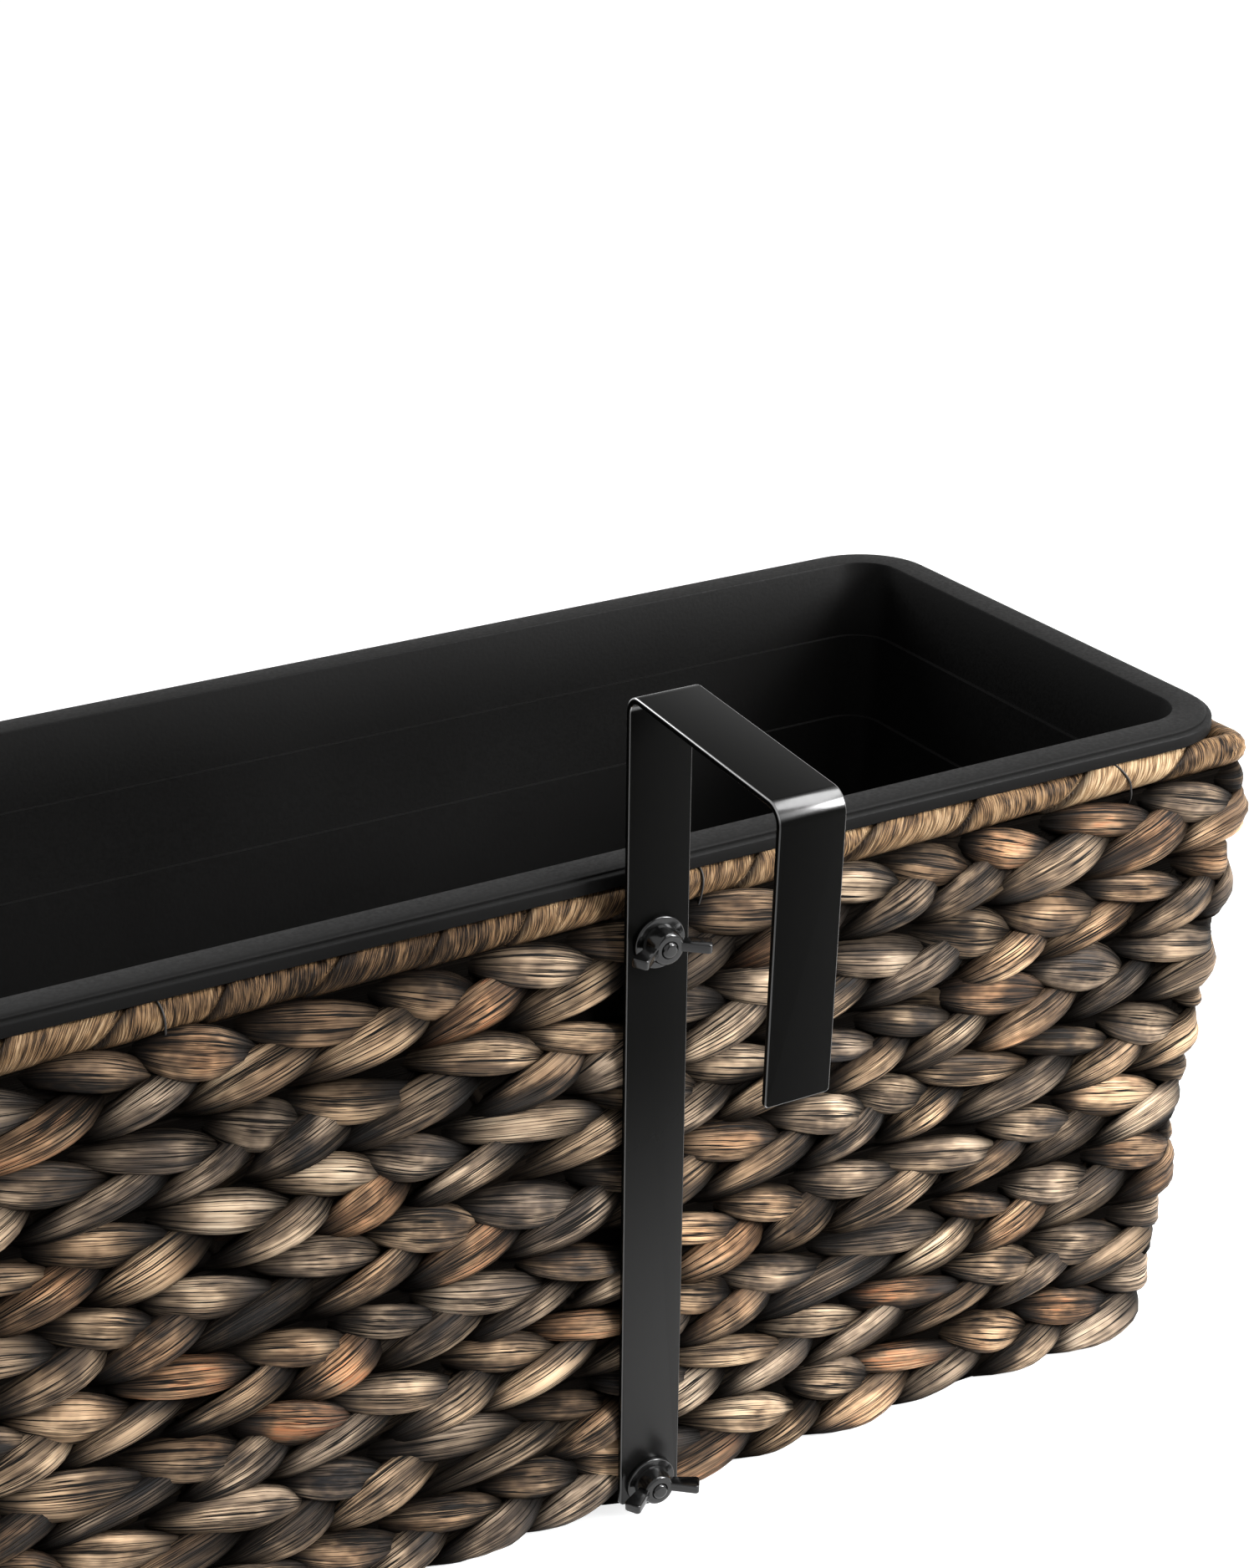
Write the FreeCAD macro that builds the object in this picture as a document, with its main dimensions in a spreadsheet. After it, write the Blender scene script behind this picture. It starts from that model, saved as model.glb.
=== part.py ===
import FreeCAD, Part
import math
import os

import Sketcher
from FreeCAD import Vector

# Balcony planter: a woven trough with a plastic liner and two flat-bar hooks for a rail.
# Frame: +X along the trough, -Y towards the hooks, +Z up, origin on the floor under the middle.

doc = FreeCAD.newDocument("balcony_planter")

driving_sizes = [
    ("basket_length_top", "800", "outer length of the woven wall at its top"),
    ("basket_width_top", "214", "outer width of the woven wall at its top"),
    ("basket_length_base", "750", "outer length of the woven wall at the floor"),
    ("basket_width_base", "194.5", "outer width of the woven wall at the floor"),
    ("wall_corner_radius", "17", "outer corner radius of the woven wall"),
    ("row_count", "8", "braid rows, one above the other"),
    ("row_pitch", "24.9", "height of one braid row"),
    ("row_thickness", "11", "thickness of one braid row"),
    ("row_edge_chamfer", "3.4", "chamfer of a row's long edges"),
    ("wrap_diameter", "10.2", "outer diameter of the wrapped top edge"),
    ("wrap_gap", "0.1", "clearance between the top row and the wrapped edge"),
    ("wrap_inset", "3", "how far the wrapped edge lies in from the braid face"),
    ("frame_rod_diameter", "5", "rods of the base"),
    ("upright_diameter", "4", "rods that stand inside the wall"),
    ("seat_gap", "0.1", "clearance between seated pieces"),
    ("upright_side_clearance", "0.1", "clearance of a side upright behind the steps of the rows"),
    ("upright_end_clearance", "0.15", "clearance of an end upright behind the steps of the rows"),
    ("upright_head_gap", "0.7", "an upright ends this far below the top of the wall"),
    ("corner_post_inset", "3.4", "corner post axis to the steps of the rows' inner faces"),
    ("side_upright_spacing", "200", "distance between side uprights"),
    ("end_upright_spacing", "80", "distance between the two uprights of an end"),
    ("base_braid_count", "7", "braid strips of the base"),
    ("base_braid_width", "22", "width of one base strip"),
    ("base_braid_thickness", "12", "thickness of one base strip"),
    ("base_braid_gap", "0.4", "clearance between two base strips"),
    ("base_braid_end_gap", "1", "clearance between the base strips and the end walls"),
    ("base_braid_edge_chamfer", "3", "chamfer of a base strip's long edges"),
    ("base_ring_bend", "9", "bend radius of the base ring, to the rod's axis"),
    ("liner_depth", "195", "rim top to underside of the liner"),
    ("liner_wall", "2.2", "wall of the liner"),
    ("liner_seat_gap", "0.3", "clearance under the liner's rim"),
    ("liner_rim_height", "5.2", "height of the liner's rim"),
    ("liner_rim_width", "12.5", "width of the liner's rim"),
    ("liner_rim_inset", "2.8", "how far the rim lies in from the wrapped edge"),
    ("liner_rim_corner_radius", "27", "outer corner radius of the rim"),
    ("liner_rim_round", "2.4", "rounding of the rim's upper outer edge"),
    ("liner_rim_lower_chamfer", "0.8", "chamfer of the rim's lower outer edge"),
    ("liner_foot_corner_radius", "13", "outer corner radius at the liner's underside"),
    ("liner_foot_round", "5", "rounding of the liner's lower outer edge"),
    ("liner_upper_ledge_depth", "26", "rim top to the upper ledge"),
    ("liner_lower_ledge_depth", "55", "rim top to the lower ledge"),
    ("liner_ledge_width", "1.6", "width of a ledge"),
    ("liner_side_clearance", "3.6", "clearance of the liner's foot inside the base ring, at the sides"),
    ("liner_end_clearance", "1.6", "clearance of the liner's foot inside the base ring, at the ends"),
    ("liner_upright_clearance", "1.2", "least clearance between the liner's wall and the uprights"),
    ("bar_width", "20", "width of the hook's flat bar"),
    ("bar_thickness", "2", "thickness of the hook's flat bar"),
    ("bar_edge_chamfer", "0.35", "chamfer of the bar's long edges"),
    ("bar_wall_gap", "0.5", "clearance between the bar and the line of the braid faces"),
    ("bar_foot_height", "4", "lower end of the bar above the floor"),
    ("hook_spacing", "357", "distance between the two hooks"),
    ("hook_height", "272", "top of the hook above the floor, along the bar"),
    ("hook_reach", "78", "length of the arm over all"),
    ("hook_drop", "88", "length of the leg over all"),
    ("hook_bend_radius", "4", "inner bend radius of the bar"),
    ("hook_arm_droop", "1.8", "how far the arm drops past square in degrees"),
    ("upper_bolt_height", "195", "upper bolt above the floor, along the bar"),
    ("lower_bolt_height", "10.5", "lower bolt above the floor, along the bar"),
    ("thread_diameter", "5", "outer diameter of the bolts' thread"),
    ("thread_fit", "0.05", "radial clearance of a nut on its thread"),
    ("bolt_hole_clearance", "0.3", "radial clearance of the bolts in bar and washers"),
    ("braid_hole_clearance", "0.6", "radial clearance of the bolts in the braid"),
    ("bolt_projection", "9", "bolt end out of the bar's face"),
    ("bolt_tip_chamfer", "0.6", "chamfer at the bolt's end"),
    ("bolt_head_diameter", "9.5", "diameter of the low round head"),
    ("bolt_head_height", "2.8", "height of the low round head"),
    ("bolt_head_chamfer", "1.6", "chamfer of the head's edge"),
    ("inner_washer_diameter", "10", "washer under the bolt head"),
    ("inner_washer_thickness", "1", "washer under the bolt head"),
    ("inner_washer_gap", "0.1", "clearance between the tilted inner washer's edge and the braid"),
    ("outer_washer_diameter", "16", "large washer under the wing nut"),
    ("outer_washer_thickness", "1.4", "large washer under the wing nut"),
    ("washer_edge_chamfer", "0.3", "chamfer of the outer washer's face"),
    ("nut_foot_diameter", "11.5", "wing nut's boss at the washer"),
    ("nut_head_diameter", "9.2", "wing nut's boss at its outer end"),
    ("nut_height", "6.6", "height of the wing nut's boss"),
    ("nut_edge_chamfer", "0.6", "chamfer of the boss at its outer end"),
    ("wing_span", "26.5", "wing tip to wing tip"),
    ("wing_thickness", "2.4", "thickness of a wing"),
    ("wing_tip_radius", "2.9", "radius of a wing's round tip"),
    ("wing_tip_height", "8.6", "middle of a wing's tip above the washer"),
    ("wing_root_low", "1.3", "lower edge of a wing at the boss"),
    ("wing_root_high", "6.2", "upper edge of a wing at the boss"),
    ("wing_root_radius", "3.6", "start of a wing inside the boss, from the axis"),
    ("cut_overrun", "4", "how far a cut runs past the piece"),
]

sizes = doc.addObject("Spreadsheet::Sheet", "Sizes")
for line, (alias, number, meaning) in enumerate(driving_sizes, start=1):
    sizes.set(f"A{line}", alias)
    sizes.set(f"B{line}", number)
    sizes.set(f"C{line}", meaning)
    sizes.setAlias(f"B{line}", alias)

places = doc.addObject("Spreadsheet::Sheet", "Places")
place_lines = []


def derive(alias, formula):
    """Add a worked-out value to the second sheet."""
    place_lines.append(alias)
    cell = f"B{len(place_lines)}"
    places.set(f"A{len(place_lines)}", alias)
    places.set(cell, f"={formula}")
    places.setAlias(cell, alias)
    return f"Places.{alias}"


def value(reference):
    """Read one cell, named as Sizes.alias or Places.alias."""
    sheet, alias = reference.split(".")
    number = doc.getObject(sheet).get(alias)
    return float(getattr(number, "Value", number))


def count(reference):
    return int(round(value(reference)))


def bind(thing, **expressions):
    """Tie an object's properties to cells or formulas."""
    for path, formula in expressions.items():
        thing.setExpression(path.replace("__", "."), formula)


doc.recompute()
row_count = count("Sizes.row_count")

# Worked-out places: woven wall
derive("wall_height", "Sizes.row_count * Sizes.row_pitch")
derive("side_lean", "atan2((Sizes.basket_width_top - Sizes.basket_width_base) / 2; wall_height)")
derive("end_lean", "atan2((Sizes.basket_length_top - Sizes.basket_length_base) / 2; wall_height)")
derive("row_inner_corner_radius", "Sizes.wall_corner_radius - Sizes.row_thickness")
for row in range(1, row_count + 1):
    for side in ("length", "width"):
        base = f"Sizes.basket_{side}_base"
        spread = f"(Sizes.basket_{side}_top - {base})"
        derive(f"row_{row}_{side}", f"{base} + {spread} * ({row} - 1 / 2) / Sizes.row_count")
        derive(f"row_{row}_inner_{side}", f"row_{row}_{side} - 2 * Sizes.row_thickness")
    derive(f"row_{row}_foot", f"({row} - 1) * Sizes.row_pitch")

# Worked-out places: wrapped edge, frame rods and base
derive("wrap_radius", "Sizes.wrap_diameter / 2")
derive("wrap_middle", "wall_height + Sizes.wrap_gap + wrap_radius")
derive("wrap_top", "wrap_middle + wrap_radius")
derive("wrap_line_length", "Sizes.basket_length_top - 2 * Sizes.wrap_inset - Sizes.wrap_diameter")
derive("wrap_line_width", "Sizes.basket_width_top - 2 * Sizes.wrap_inset - Sizes.wrap_diameter")
derive("wrap_line_radius", "Sizes.wall_corner_radius - Sizes.wrap_inset - wrap_radius")
derive("rod_radius", "Sizes.frame_rod_diameter / 2")
derive("cross_rod_middle", "Sizes.base_braid_thickness + Sizes.seat_gap + rod_radius")
derive("base_ring_middle", "cross_rod_middle + Sizes.frame_rod_diameter + Sizes.seat_gap")
for side in ("length", "width"):
    derive(f"base_ring_{side}", f"row_1_inner_{side} - 2 * Sizes.seat_gap - Sizes.frame_rod_diameter")
derive("upright_radius", "Sizes.upright_diameter / 2")
derive("upright_foot", "base_ring_middle + rod_radius + Sizes.seat_gap")
derive("upright_rise", "wall_height - Sizes.upright_head_gap - upright_foot")
derive("side_inner_line", "Sizes.basket_width_base / 2 - Sizes.row_thickness + upright_foot * tan(side_lean)")
derive("end_inner_line", "Sizes.basket_length_base / 2 - Sizes.row_thickness + upright_foot * tan(end_lean)")
for side in ("side", "end"):
    # a leaning rod clears the edges of the rows, which stand straight
    derive(f"{side}_row_step", f"(Sizes.row_pitch / 2 - Sizes.row_edge_chamfer) * abs(tan({side}_lean))")
    derive(f"{side}_upright_reach", f"upright_radius / cos({side}_lean)")
    behind = f"{side}_row_step - Sizes.upright_{side}_clearance - {side}_upright_reach"
    derive(f"{side}_upright_line", f"{side}_inner_line - {behind}")
    derive(f"{side}_post_line", f"{side}_inner_line - {side}_row_step - Sizes.corner_post_inset")
derive("post_side_lean", "atan(tan(side_lean) * cos(end_lean))")
derive("base_braid_length", "row_1_inner_length - 2 * Sizes.base_braid_end_gap")
derive("base_braid_pitch", "Sizes.base_braid_width + Sizes.base_braid_gap")

# Worked-out places: liner
derive("liner_rim_foot", "wrap_top + Sizes.liner_seat_gap")
derive("liner_top", "liner_rim_foot + Sizes.liner_rim_height")
derive("liner_foot", "liner_top - Sizes.liner_depth")
derive("liner_floor", "liner_foot + Sizes.liner_wall")
derive("liner_upper_ledge", "liner_top - Sizes.liner_upper_ledge_depth")
derive("liner_lower_ledge", "liner_top - Sizes.liner_lower_ledge_depth")
derive("liner_rim_length", "Sizes.basket_length_top - 2 * Sizes.wrap_inset - 2 * Sizes.liner_rim_inset")
derive("liner_rim_width_over", "Sizes.basket_width_top - 2 * Sizes.wrap_inset - 2 * Sizes.liner_rim_inset")
for side, edge, rim in (("length", "end", "liner_rim_length"), ("width", "side", "liner_rim_width_over")):
    rod_face = f"{edge}_upright_line - {edge}_upright_reach + (liner_top - upright_foot) * tan({edge}_lean)"
    room = f"2 * ({rod_face} - Sizes.liner_upright_clearance - Sizes.liner_wall)"
    derive(f"liner_mouth_{side}", f"min({rim} - 2 * Sizes.liner_rim_width; {room})")
derive("liner_mouth_radius", "Sizes.liner_rim_corner_radius - Sizes.liner_rim_width")
derive("liner_outer_mouth_radius", "liner_mouth_radius + Sizes.liner_wall")
derive("liner_floor_radius", "Sizes.liner_foot_corner_radius - Sizes.liner_wall")
derive("liner_ledges_set", "2 * Sizes.liner_ledge_width")
for side, edge in (("length", "end"), ("width", "side")):
    derive(f"liner_straight_{side}", f"liner_mouth_{side} / 2 + Sizes.liner_wall - liner_ledges_set")
    ring_room = f"base_ring_{side} / 2 - rod_radius - Sizes.liner_{edge}_clearance"
    taper = f"liner_straight_{side} - min(liner_straight_{side}; {ring_room})"
    derive(f"liner_{side}_slope", f"({taper}) / Sizes.liner_depth")

# Worked-out places: hooks and their bolts
derive("bar_line", "Sizes.basket_width_base / 2 + Sizes.bar_wall_gap / cos(side_lean)")
derive("hook_place", "Sizes.hook_spacing / 2")
derive("bend_line_radius", "Sizes.hook_bend_radius + Sizes.bar_thickness / 2")
derive("first_bend_set", "bend_line_radius * tan((90 deg + Sizes.hook_arm_droop * 1 deg) / 2)")
derive("bar_half", "Sizes.bar_thickness / 2")
derive("bar_run", "Sizes.hook_height - bar_half - first_bend_set - Sizes.bar_foot_height")
derive("arm_run", "Sizes.hook_reach - Sizes.bar_thickness - first_bend_set - bend_line_radius")
derive("leg_run", "Sizes.hook_drop - bar_half - bend_line_radius")
derive("bolt_hole_radius", "Sizes.thread_diameter / 2 + Sizes.bolt_hole_clearance")
derive("braid_hole_radius", "Sizes.thread_diameter / 2 + Sizes.braid_hole_clearance")
derive("nut_bore_radius", "Sizes.thread_diameter / 2 + Sizes.thread_fit")
derive("washer_foot", "Sizes.bar_thickness + Sizes.seat_gap")
derive("nut_foot", "washer_foot + Sizes.outer_washer_thickness + Sizes.seat_gap")
derive("wing_foot_low", "nut_foot + Sizes.wing_root_low")
derive("wing_foot_high", "nut_foot + Sizes.wing_root_high")
derive("wing_tip_middle", "nut_foot + Sizes.wing_tip_height")
derive("wing_tip_place", "Sizes.wing_span / 2 - Sizes.wing_tip_radius")
derive("bolt_end", "Sizes.bar_thickness + Sizes.bolt_projection")
for level, row in (("upper", row_count), ("lower", 1)):
    along = f"Sizes.{level}_bolt_height"
    derive(f"{level}_bolt_line", f"bar_line + {along} * sin(side_lean)")
    derive(f"{level}_bolt_z", f"{along} * cos(side_lean)")
    depth = f"({level}_bolt_line - row_{row}_inner_width / 2) / cos(side_lean)"
    tilt_set = "Sizes.inner_washer_diameter / 2 * abs(tan(side_lean))"
    washer_set = f"{tilt_set} + Sizes.inner_washer_gap + Sizes.inner_washer_thickness"
    derive(f"{level}_inner_washer_foot", f"-({depth}) - ({washer_set})")
    derive(f"{level}_head_top", f"{level}_inner_washer_foot - Sizes.seat_gap")
    derive(f"{level}_head_foot", f"{level}_head_top - Sizes.bolt_head_height")
doc.recompute()

nodes = []
same_place = 1e-4


def keep(thing, label):
    """Give an object its node's name and note it for export."""
    thing.Label = label
    nodes.append(thing)
    return thing


def new_body(name):
    return doc.addObject("PartDesign::Body", name)


def origin_plane(body, role):
    return next(feature for feature in body.Origin.OriginFeatures if feature.Role == role)


def sketch_on(body, role, name, height=None):
    """Add a sketch on one of the body's own planes, lifted to a height where one is given."""
    sketch = body.newObject("Sketcher::SketchObject", name)
    sketch.AttachmentSupport = [(origin_plane(body, role), "")]
    sketch.MapMode = "FlatFace"
    if height:
        bind(sketch, AttachmentOffset__Base__z=height)
    return sketch


def hold(sketch, name, formula, *constraint):
    """Add a dimension to a sketch and tie it to a cell."""
    index = sketch.addConstraint(Sketcher.Constraint(*constraint))
    sketch.renameConstraint(index, name)
    sketch.setExpression(f"Constraints.{name}", formula)


def rounded_rectangle(sketch, name, length, width, radius):
    """Draw a rectangle with round corners about the sketch's origin."""
    far_x, far_y, turn = value(length) / 2, value(width) / 2, value(radius)
    near_x, near_y = far_x - turn, far_y - turn
    flat = Vector(0, 0, 1)

    def corner(x, y, start):
        circle = Part.Circle(Vector(x, y, 0), flat, turn)
        return Part.ArcOfCircle(circle, math.radians(start), math.radians(start + 90))

    first = sketch.GeometryCount
    sketch.addGeometry([
        Part.LineSegment(Vector(-near_x, -far_y, 0), Vector(near_x, -far_y, 0)),
        corner(near_x, -near_y, 270),
        Part.LineSegment(Vector(far_x, -near_y, 0), Vector(far_x, near_y, 0)),
        corner(near_x, near_y, 0),
        Part.LineSegment(Vector(near_x, far_y, 0), Vector(-near_x, far_y, 0)),
        corner(-near_x, near_y, 90),
        Part.LineSegment(Vector(-far_x, near_y, 0), Vector(-far_x, -near_y, 0)),
        corner(-near_x, -near_y, 180),
    ], False)
    edges = [first + step for step in range(8)]
    for here, after in zip(edges, edges[1:] + edges[:1]):
        sketch.addConstraint(Sketcher.Constraint("Tangent", here, 2, after, 1))
    for here in (edges[0], edges[4]):
        sketch.addConstraint(Sketcher.Constraint("Horizontal", here))
    for here in (edges[2], edges[6]):
        sketch.addConstraint(Sketcher.Constraint("Vertical", here))
    for here in (edges[3], edges[5], edges[7]):
        sketch.addConstraint(Sketcher.Constraint("Equal", edges[1], here))
    sketch.addConstraint(Sketcher.Constraint("Symmetric", edges[0], 1, edges[4], 1, -1, 1))
    hold(sketch, f"{name}_length", length, "DistanceX", edges[6], 1, edges[2], 1, 2 * far_x)
    hold(sketch, f"{name}_width", width, "DistanceY", edges[0], 1, edges[4], 1, 2 * far_y)
    hold(sketch, f"{name}_radius", radius, "Radius", edges[1], turn)


def level_edges(shape, heights):
    """Name the edges of a shape that lie flat at one of the heights."""
    names = []
    for number, edge in enumerate(shape.Edges, start=1):
        box = edge.BoundBox
        near = any(abs(box.ZMin - height) < same_place for height in heights)
        if near and box.ZLength < same_place:
            names.append(f"Edge{number}")
    return names


def dress(body, kind, name, base, edges, size):
    """Add a fillet or a chamfer to named edges of the body's last feature."""
    feature = body.newObject(f"PartDesign::{kind}", name)
    feature.Base = (base, edges)
    bind(feature, **{"Radius" if kind == "Fillet" else "Size": size})
    return feature


def additive(body, kind, name, height=None, **dimensions):
    """Add a primitive feature on the body's floor plane, lifted to a height."""
    feature = body.newObject(f"PartDesign::{kind}", name)
    feature.AttachmentSupport = [(origin_plane(body, "XY_Plane"), "")]
    feature.MapMode = "FlatFace"
    if height:
        bind(feature, AttachmentOffset__Base__z=height)
    bind(feature, **dimensions)
    return feature


# Woven wall: one ring for each braid row, set out a little further than the row below it

def braid_row(row):
    body = new_body(f"braid_row_{row}_ring")
    foot = f"Places.row_{row}_foot"
    outline = sketch_on(body, "XY_Plane", f"braid_row_{row}_outline", foot)
    rounded_rectangle(outline, "outer", f"Places.row_{row}_length", f"Places.row_{row}_width",
                      "Sizes.wall_corner_radius")
    rounded_rectangle(outline, "inner", f"Places.row_{row}_inner_length", f"Places.row_{row}_inner_width",
                      "Places.row_inner_corner_radius")
    pad = body.newObject("PartDesign::Pad", f"braid_row_{row}_pad")
    pad.Profile = outline
    bind(pad, Length="Sizes.row_pitch")
    doc.recompute()
    edges = level_edges(pad.Shape, (value(foot), value(foot) + value("Sizes.row_pitch")))
    dress(body, "Chamfer", f"braid_row_{row}_edges", pad, edges, "Sizes.row_edge_chamfer")
    return body


def bolt_placement(level, side):
    """Formula of the place where a bolt's axis meets the bar's back face, with +Z outwards."""
    sign = "-" if side == "left" else ""
    spot = f"vector({sign}Places.hook_place; -Places.{level}_bolt_line; Places.{level}_bolt_z)"
    return f"placement({spot}; rotation(vector(1; 0; 0); 90 deg + Places.side_lean))"


def bolt_clearance(level):
    """Two cylinders that clear the bolts of one level through the braid."""
    cylinders = []
    for side in ("left", "right"):
        cylinder = doc.addObject("Part::Cylinder", f"{level}_{side}_braid_hole")
        deep = f"(Places.{level}_inner_washer_foot - Sizes.cut_overrun)"
        bind(cylinder, Radius="Places.braid_hole_radius", Height=f"Sizes.bar_thickness - {deep}")
        start = f"placement(vector(0; 0; {deep}); rotation(vector(0; 0; 1); 0 deg))"
        bind(cylinder, Placement=f"{bolt_placement(level, side)} * {start}")
        cylinders.append(cylinder)
    holes = doc.addObject("Part::MultiFuse", f"{level}_braid_holes")
    holes.Shapes = cylinders
    return holes


for row in range(1, row_count + 1):
    ring = braid_row(row)
    level = {1: "lower", row_count: "upper"}.get(row)
    if level:
        bored = doc.addObject("Part::Cut", f"braid_row_{row}_bored")
        bored.Base = ring
        bored.Tool = bolt_clearance(level)
        ring = bored
    keep(ring, f"braid_row_{row}")


# Rings of round section: the top rod with its wrapping, and the base ring

def round_ring(label, line, height, reach):
    """Sweep a circle round a rectangle with round corners."""
    body = new_body(f"{label}_body")
    length, width, radius = line
    path = sketch_on(body, "XY_Plane", f"{label}_line", height)
    rounded_rectangle(path, "line", length, width, radius)
    middle = Vector(value(width) / 2, value(height), 0)
    section = sketch_on(body, "YZ_Plane", f"{label}_section")
    circle = section.addGeometry(Part.Circle(middle, Vector(0, 0, 1), value(reach)), False)
    hold(section, "side", f"{width} / 2", "DistanceX", -1, 1, circle, 3, middle.x)
    hold(section, "height", height, "DistanceY", -1, 1, circle, 3, middle.y)
    hold(section, "radius", reach, "Radius", circle, value(reach))
    pipe = body.newObject("PartDesign::AdditivePipe", f"{label}_round")
    pipe.Profile = section
    pipe.Spine = (path, [])
    doc.recompute()
    keep(body, label)


wrap_line = ("Places.wrap_line_length", "Places.wrap_line_width", "Places.wrap_line_radius")
base_line = ("Places.base_ring_length", "Places.base_ring_width", "Sizes.base_ring_bend")
round_ring("rim_wrap", wrap_line, "Places.wrap_middle", "Places.wrap_radius")
round_ring("base_ring", base_line, "Places.base_ring_middle", "Places.rod_radius")


# Straight rods of the frame

def rod(name, radius, length, placement):
    cylinder = doc.addObject("Part::Cylinder", name)
    bind(cylinder, Radius=radius, Height=length, Placement=placement)
    return cylinder


def group(label, pieces):
    compound = doc.addObject("Part::Compound", f"{label}_group")
    compound.Links = pieces
    keep(compound, label)


def side_stations():
    """Multiples of the spacing at which side uprights and cross rods stand."""
    room = value("Places.end_upright_line") - value("Sizes.wall_corner_radius")
    reach = int(room // value("Sizes.side_upright_spacing"))
    return range(-reach, reach + 1)


cross_rods = []
uprights = []
for station in side_stations():
    along = f"{station} * Sizes.side_upright_spacing"
    across = f"placement(vector({along}; -Places.base_ring_width / 2; Places.cross_rod_middle);"
    cross = f"{across} rotation(vector(1; 0; 0); -90 deg))"
    cross_rods.append(rod(f"cross_rod_{station + 10}", "Places.rod_radius", "Places.base_ring_width", cross))
    for side, sign in (("front", "-"), ("back", "")):
        foot = f"vector({along}; {sign}Places.side_upright_line; Places.upright_foot)"
        turn = f"rotation(vector({sign}1; 0; 0); -Places.side_lean)"
        length = "Places.upright_rise / cos(Places.side_lean)"
        name = f"{side}_upright_{station + 10}"
        uprights.append(rod(name, "Places.upright_radius", length, f"placement({foot}; {turn})"))
for end, sign in (("left", "-"), ("right", "")):
    for place, half in (("front", "-"), ("back", "")):
        across = f"{half}Sizes.end_upright_spacing / 2"
        foot = f"vector({sign}Places.end_upright_line; {across}; Places.upright_foot)"
        turn = f"rotation(vector(0; {sign}1; 0); Places.end_lean)"
        length = "Places.upright_rise / cos(Places.end_lean)"
        name = f"{end}_{place}_upright"
        uprights.append(rod(name, "Places.upright_radius", length, f"placement({foot}; {turn})"))

corner_posts = []
for end, sign in (("left", "-"), ("right", "")):
    for place, half in (("front", "-"), ("back", "")):
        foot = f"vector({sign}Places.end_post_line; {half}Places.side_post_line; Places.upright_foot)"
        first = f"rotation(vector(0; {sign}1; 0); Places.end_lean)"
        second = f"rotation(vector({half}1; 0; 0); -Places.post_side_lean)"
        spot = f"placement({foot}; {first} * {second})"
        length = "Places.upright_rise / (cos(Places.end_lean) * cos(Places.post_side_lean))"
        corner_posts.append(rod(f"{end}_{place}_post", "Places.upright_radius", length, spot))

group("base_cross_rods", cross_rods)
group("wall_uprights", uprights)
group("corner_posts", corner_posts)


# Braided base: strips side by side, flat on the floor

def base_strip(number):
    body = new_body(f"base_braid_{number}")
    strip = additive(body, "AdditiveBox", f"base_braid_{number}_strip", Length="Places.base_braid_length",
                     Width="Sizes.base_braid_width", Height="Sizes.base_braid_thickness")
    bind(strip, AttachmentOffset__Base__x="-Places.base_braid_length / 2",
         AttachmentOffset__Base__y="-Sizes.base_braid_width / 2")
    doc.recompute()
    length = value("Places.base_braid_length")
    long_edges = [f"Edge{place}" for place, edge in enumerate(strip.Shape.Edges, start=1)
                  if edge.BoundBox.XLength > length / 2]
    dress(body, "Chamfer", f"base_braid_{number}_edges", strip, long_edges, "Sizes.base_braid_edge_chamfer")
    bind(body, Placement__Base__y=f"({number} - (Sizes.base_braid_count + 1) / 2) * Places.base_braid_pitch")
    return body


group("base_braids", [base_strip(number) for number in range(1, count("Sizes.base_braid_count") + 1)])


# Liner: three tapered tiers between two ledges, a rolled rim and a closed floor

def liner_section(body, name, height, wall, ledges, radius):
    """Draw the liner's outline at one height, outside or inside its wall, after some ledges."""
    rim_set = f"(Places.liner_top - {height})"
    ledge_set = f"{ledges} * Sizes.liner_ledge_width"
    thick = "Sizes.liner_wall" if wall == "outer" else "0"
    lengths = {}
    for side in ("length", "width"):
        inset = f"{rim_set} * liner_{side}_slope + {ledge_set} - {thick}"
        lengths[side] = derive(f"liner_{name}_{side}", f"liner_mouth_{side} - 2 * ({inset})")
    doc.recompute()
    section = sketch_on(body, "XY_Plane", f"liner_{name}_outline", height)
    rounded_rectangle(section, name, lengths["length"], lengths["width"], radius)
    return section


def liner_tier(body, kind, name, lower, upper):
    loft = body.newObject(f"PartDesign::{kind}", name)
    loft.Profile = lower
    loft.Sections = [upper]
    loft.Ruled = True
    return loft


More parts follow.
